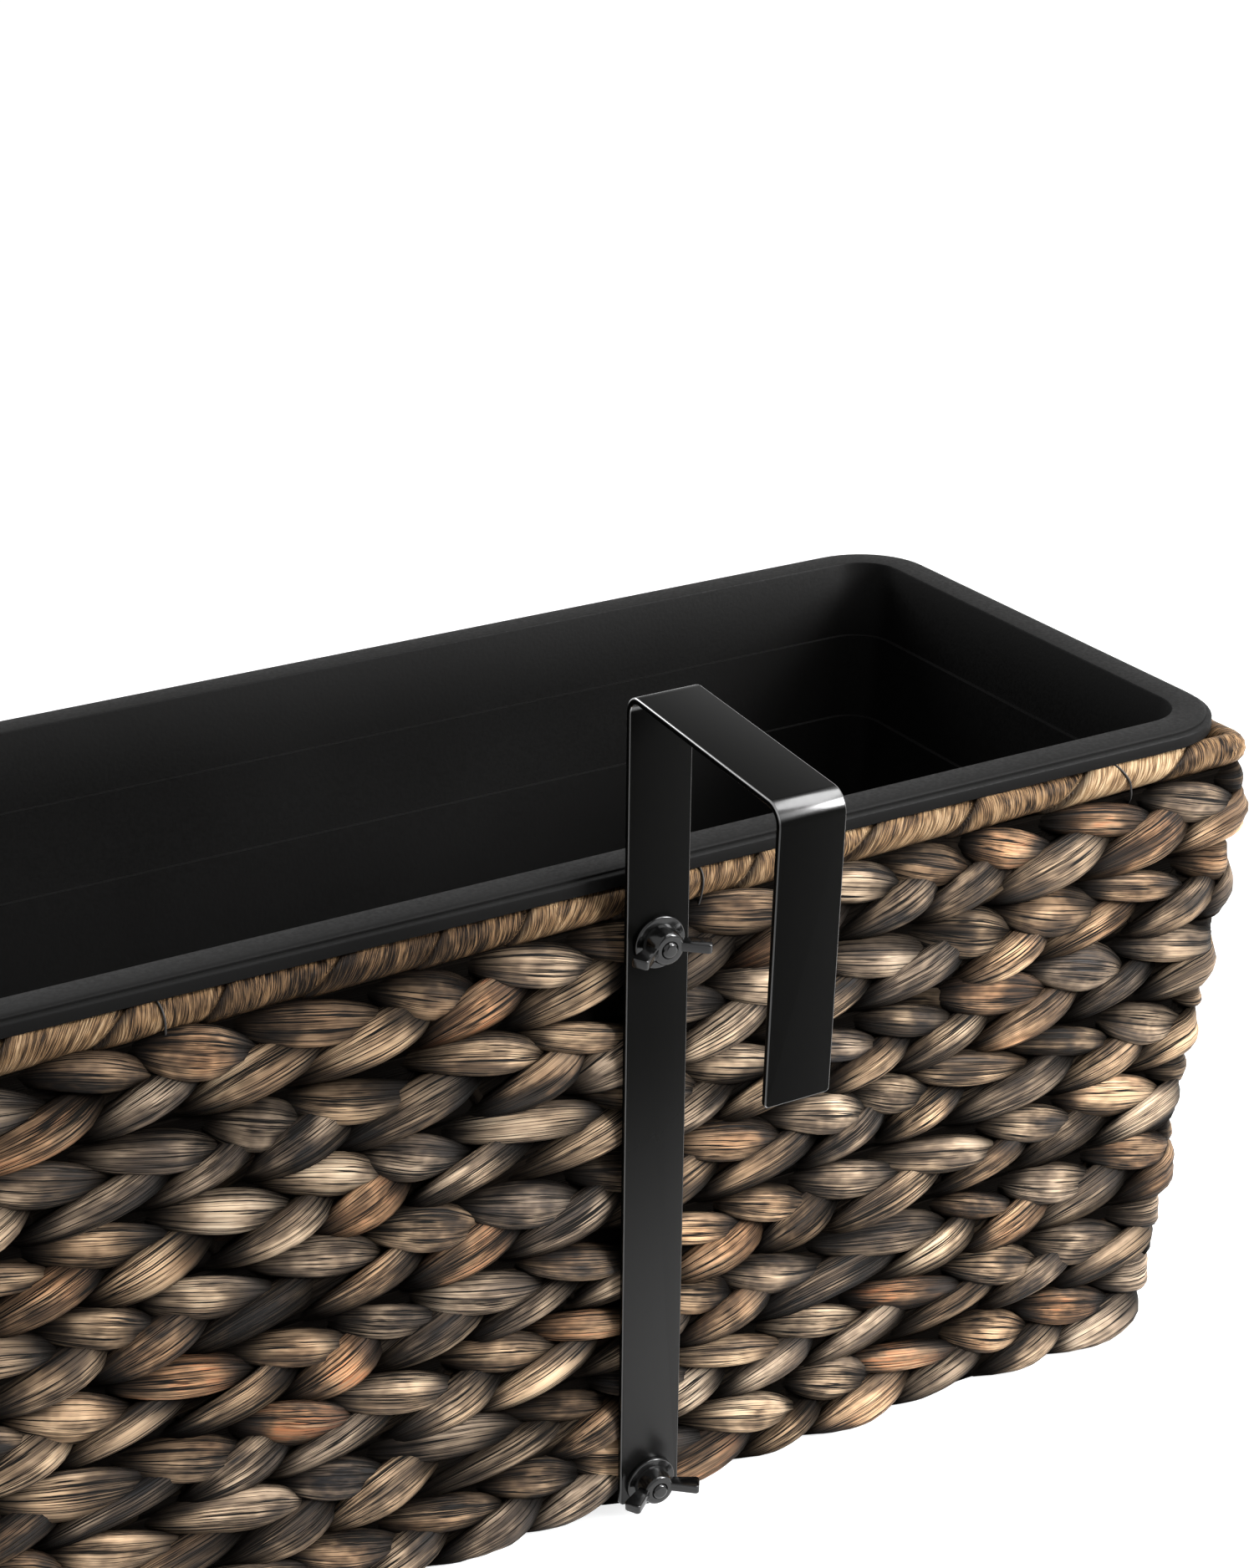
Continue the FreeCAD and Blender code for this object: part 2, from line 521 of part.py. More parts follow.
def make_liner():
    body = new_body("liner_body")
    heights = ("Places.liner_top", "Places.liner_upper_ledge", "Places.liner_lower_ledge")
    last_tier = len(heights) - 1
    walls = (("outer", "AdditiveLoft", "Places.liner_outer_mouth_radius", "Sizes.liner_foot_corner_radius",
              "Places.liner_foot"),
             ("inner", "SubtractiveLoft", "Places.liner_mouth_radius", "Places.liner_floor_radius",
              "Places.liner_floor"))
    rim = None
    for wall, kind, mouth, floor, foot in walls:
        below = "Sizes.liner_wall" if wall == "outer" else "0"
        levels = [heights[0]]
        for ledge in heights[1:]:
            levels.append(derive(f"{wall}_{ledge.split('.')[1]}", f"{ledge} - {below}"))
        levels.append(foot)
        doc.recompute()
        for tier in range(last_tier + 1):
            low_radius = floor if tier == last_tier else mouth
            upper = liner_section(body, f"{wall}_{tier}_upper", levels[tier], wall, tier, mouth)
            lower = liner_section(body, f"{wall}_{tier}_lower", levels[tier + 1], wall, tier, low_radius)
            liner_tier(body, kind, f"liner_{wall}_tier_{tier}", lower, upper)
        if wall == "outer":
            rim = body.newObject("PartDesign::Pad", "liner_rim")
            outline = sketch_on(body, "XY_Plane", "liner_rim_outline", "Places.liner_rim_foot")
            rounded_rectangle(outline, "rim", "Places.liner_rim_length", "Places.liner_rim_width_over",
                              "Sizes.liner_rim_corner_radius")
            rim.Profile = outline
            bind(rim, Length="Sizes.liner_rim_height")
    doc.recompute()
    top, under, foot = value("Places.liner_top"), value("Places.liner_rim_foot"), value("Places.liner_foot")
    for kind, name, height, outside in (("Fillet", "rim_round", top, True),
                                        ("Chamfer", "rim_lower_chamfer", under, True),
                                        ("Fillet", "foot_round", foot, False)):
        last = body.Tip
        edges = [edge for edge in level_edges(last.Shape, [height])
                 if on_rim(last.Shape.getElement(edge)) == outside]
        dress(body, kind, f"liner_{name}", last, edges, f"Sizes.liner_{name}")
        doc.recompute()
    keep(body, "liner")


def on_rim(edge):
    """Tell the rim's outer edges from those at the liner's wall."""
    reach_x = value("Places.liner_rim_length") / 2 - value("Sizes.liner_rim_corner_radius")
    reach_y = value("Places.liner_rim_width_over") / 2 - value("Sizes.liner_rim_corner_radius")
    middle = edge.valueAt((edge.FirstParameter + edge.LastParameter) / 2)
    past_x, past_y = max(abs(middle.x) - reach_x, 0), max(abs(middle.y) - reach_y, 0)
    rim_inner = value("Sizes.liner_rim_corner_radius") - value("Sizes.liner_rim_width") / 2
    return math.hypot(past_x, past_y) > rim_inner


make_liner()


# Hooks: one flat bar each, bent over twice

def make_hook(side):
    body = new_body(f"hook_{side}_body")
    half = value("Places.bar_half")
    turn = value("Places.bend_line_radius")
    droop = math.radians(value("Sizes.hook_arm_droop"))
    out = Vector(-math.cos(droop), -math.sin(droop), 0)
    down = Vector(math.sin(droop), -math.cos(droop), 0)
    foot = Vector(-half, value("Sizes.bar_foot_height"), 0)
    shoulder = foot + Vector(0, value("Places.bar_run"), 0)
    first_centre = shoulder + Vector(-turn, 0, 0)
    arm_start = first_centre - down * turn
    arm_end = arm_start + out * value("Places.arm_run")
    second_centre = arm_end + down * turn
    leg_start = second_centre + out * turn
    leg_end = leg_start + down * value("Places.leg_run")
    flat = Vector(0, 0, 1)

    path = sketch_on(body, "YZ_Plane", f"hook_{side}_line")
    right_angle = math.pi / 2
    path.addGeometry([
        Part.LineSegment(foot, shoulder),
        Part.ArcOfCircle(Part.Circle(first_centre, flat, turn), 0, right_angle + droop),
        Part.LineSegment(arm_end, arm_start),
        Part.ArcOfCircle(Part.Circle(second_centre, flat, turn), right_angle + droop, 2 * right_angle + droop),
        Part.LineSegment(leg_end, leg_start),
    ], False)
    bar, first_bend, arm, second_bend, leg = range(5)
    for ends in ((bar, 2, first_bend, 1), (first_bend, 2, arm, 2), (arm, 1, second_bend, 1),
                 (second_bend, 2, leg, 2)):
        path.addConstraint(Sketcher.Constraint("Tangent", *ends))
    path.addConstraint(Sketcher.Constraint("Vertical", bar))
    path.addConstraint(Sketcher.Constraint("Equal", first_bend, second_bend))
    hold(path, "bar_side", "Places.bar_half", "DistanceX", bar, 1, -1, 1, half)
    hold(path, "bar_foot", "Sizes.bar_foot_height", "DistanceY", -1, 1, bar, 1, foot.y)
    hold(path, "bar_run", "Places.bar_run", "Distance", bar, value("Places.bar_run"))
    hold(path, "bend_radius", "Places.bend_line_radius", "Radius", first_bend, turn)
    hold(path, "arm_run", "Places.arm_run", "Distance", arm, value("Places.arm_run"))
    hold(path, "arm_droop", "Sizes.hook_arm_droop * 1 deg", "Angle", arm, droop)
    hold(path, "leg_run", "Places.leg_run", "Distance", leg, value("Places.leg_run"))
    hold(path, "leg_droop", "90 deg + Sizes.hook_arm_droop * 1 deg", "Angle", leg, right_angle + droop)

    section = sketch_on(body, "XY_Plane", f"hook_{side}_section", "Sizes.bar_foot_height")
    wide, thick = value("Sizes.bar_width") / 2, value("Sizes.bar_thickness")
    corners = [Vector(-wide, 0, 0), Vector(wide, 0, 0), Vector(wide, -thick, 0), Vector(-wide, -thick, 0)]
    section.addGeometry([Part.LineSegment(here, after)
                         for here, after in zip(corners, corners[1:] + corners[:1])], False)
    for line in range(4):
        section.addConstraint(Sketcher.Constraint("Coincident", line, 2, (line + 1) % 4, 1))
        section.addConstraint(Sketcher.Constraint("Vertical" if line % 2 else "Horizontal", line))
    section.addConstraint(Sketcher.Constraint("Symmetric", 0, 1, 0, 2, -1, 1))
    hold(section, "wide", "Sizes.bar_width", "DistanceX", 0, 1, 0, 2, 2 * wide)
    hold(section, "thick", "Sizes.bar_thickness", "DistanceY", 1, 2, 1, 1, thick)

    bent = body.newObject("PartDesign::AdditivePipe", f"hook_{side}_bar")
    bent.Profile = section
    bent.Spine = (path, [])
    doc.recompute()

    holes = sketch_on(body, "XZ_Plane", f"hook_{side}_hole_places")
    for level in ("upper", "lower"):
        height = f"Sizes.{level}_bolt_height"
        spot = Vector(0, value(height), 0)
        circle = holes.addGeometry(Part.Circle(spot, flat, value("Places.bolt_hole_radius")), False)
        holes.addConstraint(Sketcher.Constraint("PointOnObject", circle, 3, -2))
        hold(holes, f"{level}_height", height, "DistanceY", -1, 1, circle, 3, spot.y)
        hold(holes, f"{level}_radius", "Places.bolt_hole_radius", "Radius", circle,
             value("Places.bolt_hole_radius"))
    bored = body.newObject("PartDesign::Pocket", f"hook_{side}_holes")
    bored.Profile = holes
    bored.Midplane = True
    bind(bored, Length="2 * Sizes.bar_thickness + Sizes.cut_overrun")
    doc.recompute()
    if bored.Shape.Volume >= bent.Shape.Volume:
        raise RuntimeError("the bolt holes cut nothing out of the bar")

    long_edges = []
    for number, edge in enumerate(bored.Shape.Edges, start=1):
        box = edge.BoundBox
        on_side = abs(abs(box.XMin) - wide) < same_place and box.XLength < same_place
        if on_side and edge.Length > 2 * thick:
            long_edges.append(f"Edge{number}")
    dress(body, "Chamfer", f"hook_{side}_edges", bored, long_edges, "Sizes.bar_edge_chamfer")
    sign = "-" if side == "left" else ""
    spot = f"vector({sign}Places.hook_place; -Places.bar_line; 0)"
    bind(body, Placement=f"placement({spot}; rotation(vector(1; 0; 0); Places.side_lean))")
    keep(body, f"hook_{side}")


for side in ("left", "right"):
    make_hook(side)


# Fasteners: each is drawn along +Z from the bar's back face and placed on its bolt axis

def make_bolt(level, side):
    body = new_body(f"{level}_{side}_bolt")
    head_foot, head_top = f"Places.{level}_head_foot", f"Places.{level}_head_top"
    additive(body, "AdditiveCylinder", f"{level}_{side}_bolt_shank", head_foot,
             Radius="Sizes.thread_diameter / 2", Height=f"Places.bolt_end - {head_foot}")
    head = additive(body, "AdditiveCylinder", f"{level}_{side}_bolt_head", head_foot,
                    Radius="Sizes.bolt_head_diameter / 2", Height="Sizes.bolt_head_height")
    doc.recompute()
    eased = dress(body, "Chamfer", f"{level}_{side}_bolt_head_edge", head,
                  level_edges(head.Shape, [value(head_foot)]), "Sizes.bolt_head_chamfer")
    doc.recompute()
    dress(body, "Chamfer", f"{level}_{side}_bolt_tip", eased,
          level_edges(eased.Shape, [value("Places.bolt_end")]), "Sizes.bolt_tip_chamfer")
    bind(body, Placement=bolt_placement(level, side))
    return body


def make_washer(label, level, side, foot, diameter, thickness, edge=None):
    body = new_body(f"{label}_body")
    disc = additive(body, "AdditiveCylinder", f"{label}_disc", foot,
                    Radius=f"{diameter} / 2", Height=thickness)
    doc.recompute()
    if edge:
        face_edges = level_edges(disc.Shape, [value(foot) + value(thickness)])
        dress(body, "Chamfer", f"{label}_edge", disc, face_edges, edge)
    additive(body, "SubtractiveCylinder", f"{label}_hole", foot,
             Radius="Places.bolt_hole_radius", Height=thickness)
    bind(body, Placement=bolt_placement(level, side))
    return body


def make_wing_nut(level, side):
    name = f"wing_nut_{level}_{side}"
    body = new_body(f"{name}_body")
    boss = additive(body, "AdditiveCone", f"{name}_boss", "Places.nut_foot",
                    Radius1="Sizes.nut_foot_diameter / 2", Radius2="Sizes.nut_head_diameter / 2",
                    Height="Sizes.nut_height")
    doc.recompute()
    eased = dress(body, "Chamfer", f"{name}_boss_edge", boss,
                  level_edges(boss.Shape, [value("Places.nut_foot") + value("Sizes.nut_height")]),
                  "Sizes.nut_edge_chamfer")
    doc.recompute()

    outline = sketch_on(body, "XZ_Plane", f"{name}_wing_outline")
    root, tip = value("Sizes.wing_root_radius"), value("Sizes.wing_tip_radius")
    low, high = value("Places.wing_foot_low"), value("Places.wing_foot_high")
    middle = Vector(value("Places.wing_tip_place"), value("Places.wing_tip_middle"), 0)
    root_low, root_high = Vector(root, low, 0), Vector(root, high, 0)
    slope = math.atan2(middle.y - (low + high) / 2, middle.x - root)
    under = middle + Vector(math.sin(slope), -math.cos(slope), 0) * tip
    over = middle - Vector(math.sin(slope), -math.cos(slope), 0) * tip
    right_angle = math.pi / 2
    outline.addGeometry([
        Part.LineSegment(root_low, under),
        Part.ArcOfCircle(Part.Circle(middle, Vector(0, 0, 1), tip), slope - right_angle, slope + right_angle),
        Part.LineSegment(over, root_high),
        Part.LineSegment(root_high, root_low),
    ], False)
    lower_edge, tip_arc, upper_edge, root_edge = range(4)
    outline.addConstraint(Sketcher.Constraint("Tangent", lower_edge, 2, tip_arc, 1))
    outline.addConstraint(Sketcher.Constraint("Tangent", tip_arc, 2, upper_edge, 1))
    outline.addConstraint(Sketcher.Constraint("Coincident", upper_edge, 2, root_edge, 1))
    outline.addConstraint(Sketcher.Constraint("Coincident", root_edge, 2, lower_edge, 1))
    outline.addConstraint(Sketcher.Constraint("Vertical", root_edge))
    hold(outline, "root", "Sizes.wing_root_radius", "DistanceX", -1, 1, root_edge, 2, root)
    hold(outline, "low", "Places.wing_foot_low", "DistanceY", -1, 1, root_edge, 2, low)
    hold(outline, "high", "Places.wing_foot_high", "DistanceY", -1, 1, root_edge, 1, high)
    hold(outline, "tip_side", "Places.wing_tip_place", "DistanceX", -1, 1, tip_arc, 3, middle.x)
    hold(outline, "tip_height", "Places.wing_tip_middle", "DistanceY", -1, 1, tip_arc, 3, middle.y)
    hold(outline, "tip_radius", "Sizes.wing_tip_radius", "Radius", tip_arc, tip)
    wing = body.newObject("PartDesign::Pad", f"{name}_wing")
    wing.Profile = outline
    wing.Midplane = True
    bind(wing, Length="Sizes.wing_thickness")
    doc.recompute()
    if wing.Shape.Volume <= eased.Shape.Volume:
        raise RuntimeError("the wing adds nothing to the boss")
    pair = body.newObject("PartDesign::Mirrored", f"{name}_wing_pair")
    pair.Originals = [wing]
    pair.MirrorPlane = (origin_plane(body, "YZ_Plane"), [""])
    body.Tip = pair
    doc.recompute()
    additive(body, "SubtractiveCylinder", f"{name}_bore", "Places.nut_foot", Radius="Places.nut_bore_radius",
             Height="Sizes.nut_height + Sizes.cut_overrun")
    bind(body, Placement=bolt_placement(level, side))
    keep(body, name)


corners = [(level, side) for level in ("upper", "lower") for side in ("left", "right")]
bolts = [make_bolt(level, side) for level, side in corners]
inner_washers = [make_washer(f"inner_washer_{level}_{side}", level, side, f"Places.{level}_inner_washer_foot",
                             "Sizes.inner_washer_diameter", "Sizes.inner_washer_thickness")
                 for level, side in corners]
group("hook_bolts", bolts)
group("inner_washers", inner_washers)
for level, side in corners:
    label = f"outer_washer_{level}_{side}"
    keep(make_washer(label, level, side, "Places.washer_foot", "Sizes.outer_washer_diameter",
                     "Sizes.outer_washer_thickness", "Sizes.washer_edge_chamfer"), label)
    make_wing_nut(level, side)

doc.recompute()
for thing in doc.Objects:
    if "Invalid" in thing.State or "Error" in thing.State:
        raise RuntimeError(f"{thing.Name} failed: {thing.State}")
for thing in nodes:
    if thing.Shape.isNull() or not thing.Shape.isValid():
        raise RuntimeError(f"{thing.Label} has no valid shape")

os.makedirs("parts", exist_ok=True)
for thing in nodes:
    thing.Shape.exportStep(os.path.join("parts", f"{thing.Label}.step"))
print(len(nodes), "nodes written")
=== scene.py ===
import math
from functools import partial

import bpy
import numpy as np
from mathutils import Matrix, Vector


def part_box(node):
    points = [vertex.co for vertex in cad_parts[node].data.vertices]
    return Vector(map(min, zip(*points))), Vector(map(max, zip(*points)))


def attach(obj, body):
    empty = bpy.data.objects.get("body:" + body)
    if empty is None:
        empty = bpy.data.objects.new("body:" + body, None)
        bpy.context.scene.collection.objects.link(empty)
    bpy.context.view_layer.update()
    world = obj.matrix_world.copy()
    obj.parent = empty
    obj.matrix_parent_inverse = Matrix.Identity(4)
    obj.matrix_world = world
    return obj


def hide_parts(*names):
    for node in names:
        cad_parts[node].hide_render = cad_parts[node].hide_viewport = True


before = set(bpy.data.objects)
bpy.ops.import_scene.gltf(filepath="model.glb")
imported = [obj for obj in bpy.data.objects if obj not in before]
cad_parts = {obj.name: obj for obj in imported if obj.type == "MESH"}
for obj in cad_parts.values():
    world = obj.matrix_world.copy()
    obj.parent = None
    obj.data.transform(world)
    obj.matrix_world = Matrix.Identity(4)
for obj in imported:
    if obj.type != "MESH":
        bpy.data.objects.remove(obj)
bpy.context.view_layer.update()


# small helpers for selecting, handing over and shading

def clearSelection():
    if bpy.context.object and bpy.context.object.mode != "OBJECT":
        bpy.ops.object.mode_set(mode="OBJECT")
    bpy.ops.object.select_all(action="DESELECT")


def pickOnly(piece):
    clearSelection()
    piece.select_set(True)
    bpy.context.view_layer.objects.active = piece


def startEdit(piece, mode="VERT"):
    pickOnly(piece)
    bpy.ops.object.mode_set(mode="EDIT")
    bpy.ops.mesh.select_mode(type=mode)


def endEdit():
    bpy.ops.object.mode_set(mode="OBJECT")


def applyAll(piece):
    pickOnly(piece)
    for modifier in list(piece.modifiers):
        bpy.ops.object.modifier_apply(modifier=modifier.name)


def settle(piece):
    # the place goes into the mesh, the object stays at the origin
    pickOnly(piece)
    bpy.ops.object.transform_apply(location=True, rotation=True, scale=True)


def paint(piece, material):
    piece.data.materials.clear()
    piece.data.materials.append(material)


def hand(piece, body, slotName, material, *nodes):
    paint(piece, material)
    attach(piece, body)
    if nodes:
        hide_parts(*nodes)


def feed(node, values):
    # links the sockets among the values and sets the rest
    for name, given in values.items():
        if isinstance(given, bpy.types.NodeSocket):
            node.id_data.links.new(given, node.inputs[name])
        else:
            node.inputs[name].default_value = given


def addNode(tree, kind, values=None, **settings):
    node = tree.nodes.new("ShaderNode" + kind)
    for name, setting in settings.items():
        setattr(node, name, setting)
    feed(node, values or {})
    return node


def newMaterial(name):
    material = bpy.data.materials.new(name)
    material.use_nodes = True
    tree = material.node_tree
    return material, tree, tree.nodes["Principled BSDF"]


def math2(operation, first, second=0.0):
    tree = next(given.id_data for given in (first, second) if isinstance(given, bpy.types.NodeSocket))
    return addNode(tree, "Math", {0: first, 1: second}, operation=operation).outputs[0]


plus, minus, times, larger = (partial(math2, name) for name in ("ADD", "SUBTRACT", "MULTIPLY", "MAXIMUM"))


def spread(given, low, high, toLow=0.0, toHigh=1.0):
    values = {"Value": given, "From Min": low, "From Max": high, "To Min": toLow, "To Max": toHigh}
    return addNode(given.id_data, "MapRange", values, interpolation_type="SMOOTHSTEP").outputs[0]


def varied(noise, roughness):
    # roughness that follows a noise between two values
    return spread(noise, 0.3, 0.7, *roughness)


def mixColour(share, first, second, blend="MIX"):
    if isinstance(second, tuple):
        second = (*second, 1)
    values = {0: share, 6: first, 7: second}
    return addNode(first.id_data, "Mix", values, data_type="RGBA", blend_type=blend).outputs[2]


def scaled(colour, factor):
    values = {0: colour, "Scale": factor}
    return addNode(colour.id_data, "VectorMath", values, operation="SCALE").outputs[0]


def ramp(given, stops):
    node = addNode(given.id_data, "ValToRGB", {0: given})
    while len(node.color_ramp.elements) < len(stops):
        node.color_ramp.elements.new(0.5)
    for element, (place, colour) in zip(node.color_ramp.elements, stops):
        element.position = place
        element.color = (*colour, 1.0)
    return node.outputs[0]


def bumpFrom(height, depth, strength=1.0):
    values = {"Height": height, "Strength": strength, "Distance": depth}
    return addNode(height.id_data, "Bump", values).outputs[0]


def objectNoise(tree, scale, detail=2.0):
    spot = addNode(tree, "TexCoord").outputs["Object"]
    return addNode(tree, "TexNoise", {"Vector": spot, "Scale": scale, "Detail": detail}).outputs["Fac"]


def normalParts(tree):
    normal = addNode(tree, "NewGeometry").outputs["Normal"]
    return addNode(tree, "SeparateXYZ", {0: normal}).outputs


def strandParts(tree):
    # place along and round a strand, then its leaf's tone, tint, seed and openness, the mask that paints shade where it
    # sinks and highlight where it stands open
    strand = addNode(tree, "UVMap", uv_map="strand")
    place = addNode(tree, "SeparateXYZ", {0: strand.outputs[0]}).outputs
    leaf = addNode(tree, "Attribute", attribute_name="leaf")
    chances = addNode(tree, "SeparateColor", {0: leaf.outputs["Color"]}).outputs
    return place[0], place[1], *chances, leaf.outputs["Alpha"]


def strandNoises(place, recipes):
    # noises drawn out along a strand; a recipe has scales along and across, shift, detail and roughness
    tree, noises = place[0].id_data, {}
    for name, (along, across, shift, detail, roughness) in recipes.items():
        spot = addNode(tree, "CombineXYZ", {
            0: times(place[0], along), 1: times(place[1], across), 2: plus(place[2], shift)})
        values = {"Vector": spot.outputs[0], "Scale": 1.0, "Detail": detail, "Roughness": roughness}
        noises[name] = addNode(tree, "TexNoise", values).outputs["Fac"]
    return noises


def strandShade(noise, tone, look):
    # colour by what the noises and the leaf's own tone add up to
    light = 0.0
    for name, (low, high, share) in look["light"].items():
        light = plus(light, times(spread(noise[name], low, high), share))
    light = plus(light, times(minus(tone, 0.5), look["toneLight"]))
    return ramp(light, [(stop, look[shade]) for shade, stop in look["stops"].items()])


# braid: dried leaves, dyed dark, three to a plait

leafLook = {
    "slate": (0.014, 0.013, 0.0125),
    "umber": (0.078, 0.056, 0.039),
    "taupe": (0.196, 0.141, 0.094),
    "tan": (0.385, 0.280, 0.186),
    "straw": (0.590, 0.465, 0.325),
    "rust": (0.300, 0.082, 0.024),
    # near-black of slits and cracks, also used for the painted shade deep in the plait
    "crackAndShade": (0.004, 0.0035, 0.003),
    "stops": {"slate": 0.02, "umber": 0.24, "taupe": 0.44, "tan": 0.62, "straw": 0.84},
    "hues": [(0.0, (0.94, 0.98, 1.06)), (0.35, (0.99, 1.0, 1.02)), (0.65, (1.03, 0.98, 0.92)),
             (0.88, (1.08, 0.95, 0.84)), (1.0, (1.15, 0.91, 0.74))],
    "seedSpan": 61.0,
    "noises": {
        "fibres": (0.8, 36.0, 0.0, 2.0, 0.55), "hairs": (2.4, 90.0, 11.0, 2.0, 0.6),
        "blotches": (2.4, 3.5, 23.0, 3.0, 0.6), "slits": (0.5, 27.0, 37.0, 2.0, 0.55),
        "cracks": (1.2, 50.0, 53.0, 2.0, 0.55), "patches": (2.0, 6.0, 71.0, 1.0, 0.55),
        "warmth": (1.6, 2.5, 89.0, 2.0, 0.55),
    },
    # the range of a noise that counts, and how much it lightens
    "light": {"fibres": (0.36, 0.64, 0.11), "hairs": (0.36, 0.64, 0.13), "blotches": (0.34, 0.66, 0.46)},
    "toneLight": 0.34,
    "rustTint": (0.88, 0.98), "rustBlotch": (0.48, 0.62), "rustFibre": (0.40, 0.60), "rustShare": 0.75,
    # dye and painted shade at a leaf's tip, painted shade at its tail where it dives beneath the next leaf, and how
    # strongly each leaf takes them
    "tipDyeAndShade": (0.34, 0.12), "tailShade": (0.50, 0.78), "dyeAndShadeShare": (0.40, 0.96), "ragged": 0.14,
    "slitWidth": 0.035, "crackWidth": 0.038, "crackPatch": (0.43, 0.55), "crackShare": 0.88,
    # share of painted shade where a leaf sinks between its neighbours
    "sunkShadeShare": 0.95,
    "crestHighlightFrom": 0.35, "crestHighlight": (0.85, 1.80),      # painted highlight: leaves are painted lighter where they stand open, darker where they sink
    "fibreRise": 0.45, "hairRise": 0.30, "crackFall": 0.50, "bumpDepth": 0.0006,
    "roughness": (0.44, 0.66), "shine": 0.09,
}


def leafMaterial(name, look):
    material, tree, shader = newMaterial(name)
    along, across, tone, tint, seed, unoccluded = strandParts(tree)
    shift = times(seed, look["seedSpan"])
    noise = strandNoises((along, across, shift), look["noises"])
    colour = strandShade(noise, tone, look)

    def fineLines(key, width):
        # 1 on thin lines, where a noise passes its middle
        away = math2("ABSOLUTE", minus(noise[key], 0.5))
        return minus(1.0, spread(away, width * 0.40, width))

    # hue changes from leaf to leaf and along each leaf
    warmth = plus(tint, minus(noise["warmth"], 0.5))
    colour = mixColour(1.0, colour, ramp(warmth, look["hues"]), "MULTIPLY")

    # a few leaves keep rust-red streaks
    flush = times(spread(tint, *look["rustTint"]), spread(noise["blotches"], *look["rustBlotch"]))
    flush = times(flush, spread(noise["fibres"], *look["rustFibre"]))
    colour = mixColour(times(flush, look["rustShare"]), colour, look["rust"])

    # both ends of a leaf darken where it dives beneath the next: dye and painted shade at the tip, painted shade at the
    # tail; dye gathers in its slits and cracks, and painted shade lies deep in the plait
    share = plus(math2("FRACT", along), times(minus(noise["fibres"], 0.5), look["ragged"]))
    dyeAndShade = larger(spread(share, *look["tipDyeAndShade"]), spread(share, *look["tailShade"]))
    dyeAndShade = times(dyeAndShade, spread(math2("FRACT", shift), 0.0, 1.0, *look["dyeAndShadeShare"]))
    colour = mixColour(dyeAndShade, colour, look["slate"])
    patches = times(spread(noise["patches"], *look["crackPatch"]), look["crackShare"])
    cracks = times(fineLines("cracks", look["crackWidth"]), patches)
    dark = larger(fineLines("slits", look["slitWidth"]), cracks)
    colour = mixColour(dark, colour, look["crackAndShade"])
    # painted shade: a leaf is painted near-black where it sinks between its neighbours
    colour = mixColour(times(minus(1.0, unoccluded), look["sunkShadeShare"]), colour, look["crackAndShade"])
    # painted highlight on what stands open
    colour = scaled(colour, spread(unoccluded, look["crestHighlightFrom"], 1.0, *look["crestHighlight"]))

    heights = plus(times(noise["fibres"], look["fibreRise"]), times(noise["hairs"], look["hairRise"]))
    heights = minus(heights, times(dark, look["crackFall"]))
    feed(shader, {
        "Base Color": colour, "Roughness": varied(noise["hairs"], look["roughness"]),
        "Normal": bumpFrom(heights, look["bumpDepth"]), "Specular IOR Level": times(unoccluded, look["shine"])})
    return material


plait = {
    "strands": 3,
    "leafTurn": 0.0965,        # length of one full weave of a strand, metres
    "ridge": 0.15, "roundness": 0.92,
    "hump": 0.0054,            # the rise over which a leaf's own chances fade in
    "stations": 40,            # rings to one weave
    "sides": 20,
    "seed": 4186,
    "wander": 0.0005,          # rows rise and fall a little
    "uneven": 0.080,           # leaves follow each other unevenly
    "deepest": -0.01,
    "standing": 0.0004,        # no plait goes below this height
    "creviceShade": (0.0013, 0.0060),      # painted shade: a leaf is painted dark below the first depth and open above the second
}
innerPlait = dict(plait, stations=20, sides=12, deepest=0.0008)
# a core strand whose last channel is 0, so it is painted fully in shade
shadeCorePlan = {"high": 0.0136, "thick": 0.0013, "depth": 0.0008, "sides": 8, "square": 0.4, "every": 4,
            "leafPlace": 0.02, "colour": (0.2, 0.5, 0.5, 0.0)}

# leaves from their tip at the row's edge to where they dive under the next: share of the leaf, millimetres;
# those of the upper half lie flatter than those of the lower half
upperLeaf = {
    "swing": [(0.03, 10.7), (0.15, 9.9), (0.30, 8.5), (0.45, 6.8), (0.60, 5.0), (0.75, 3.2), (0.85, 1.9),
              (0.91, 0.5), (0.95, -3.2), (0.985, -8.6)],
    "depth": [(0.0, -2.6), (0.04, -1.6), (0.09, -0.4), (0.16, 0.7), (0.26, 1.6), (0.38, 2.3), (0.52, 2.6),
              (0.65, 2.4), (0.75, 1.8), (0.83, 0.9), (0.90, -0.5), (0.95, -2.6)],
    "wide": [(0.0, 4.4), (0.04, 3.4), (0.10, 6.0), (0.18, 9.2), (0.30, 12.0), (0.45, 13.6), (0.58, 13.4),
             (0.70, 11.4), (0.79, 8.4), (0.87, 5.0), (0.93, 3.6)],
    "thick": [(0.0, 3.6), (0.06, 3.0), (0.25, 4.8), (0.50, 6.2), (0.70, 5.8), (0.86, 4.0)],
    "tilt": [(0.03, 16.0), (0.25, 8.0), (0.60, 4.0), (0.85, -4.0), (0.97, 0.0)],
}
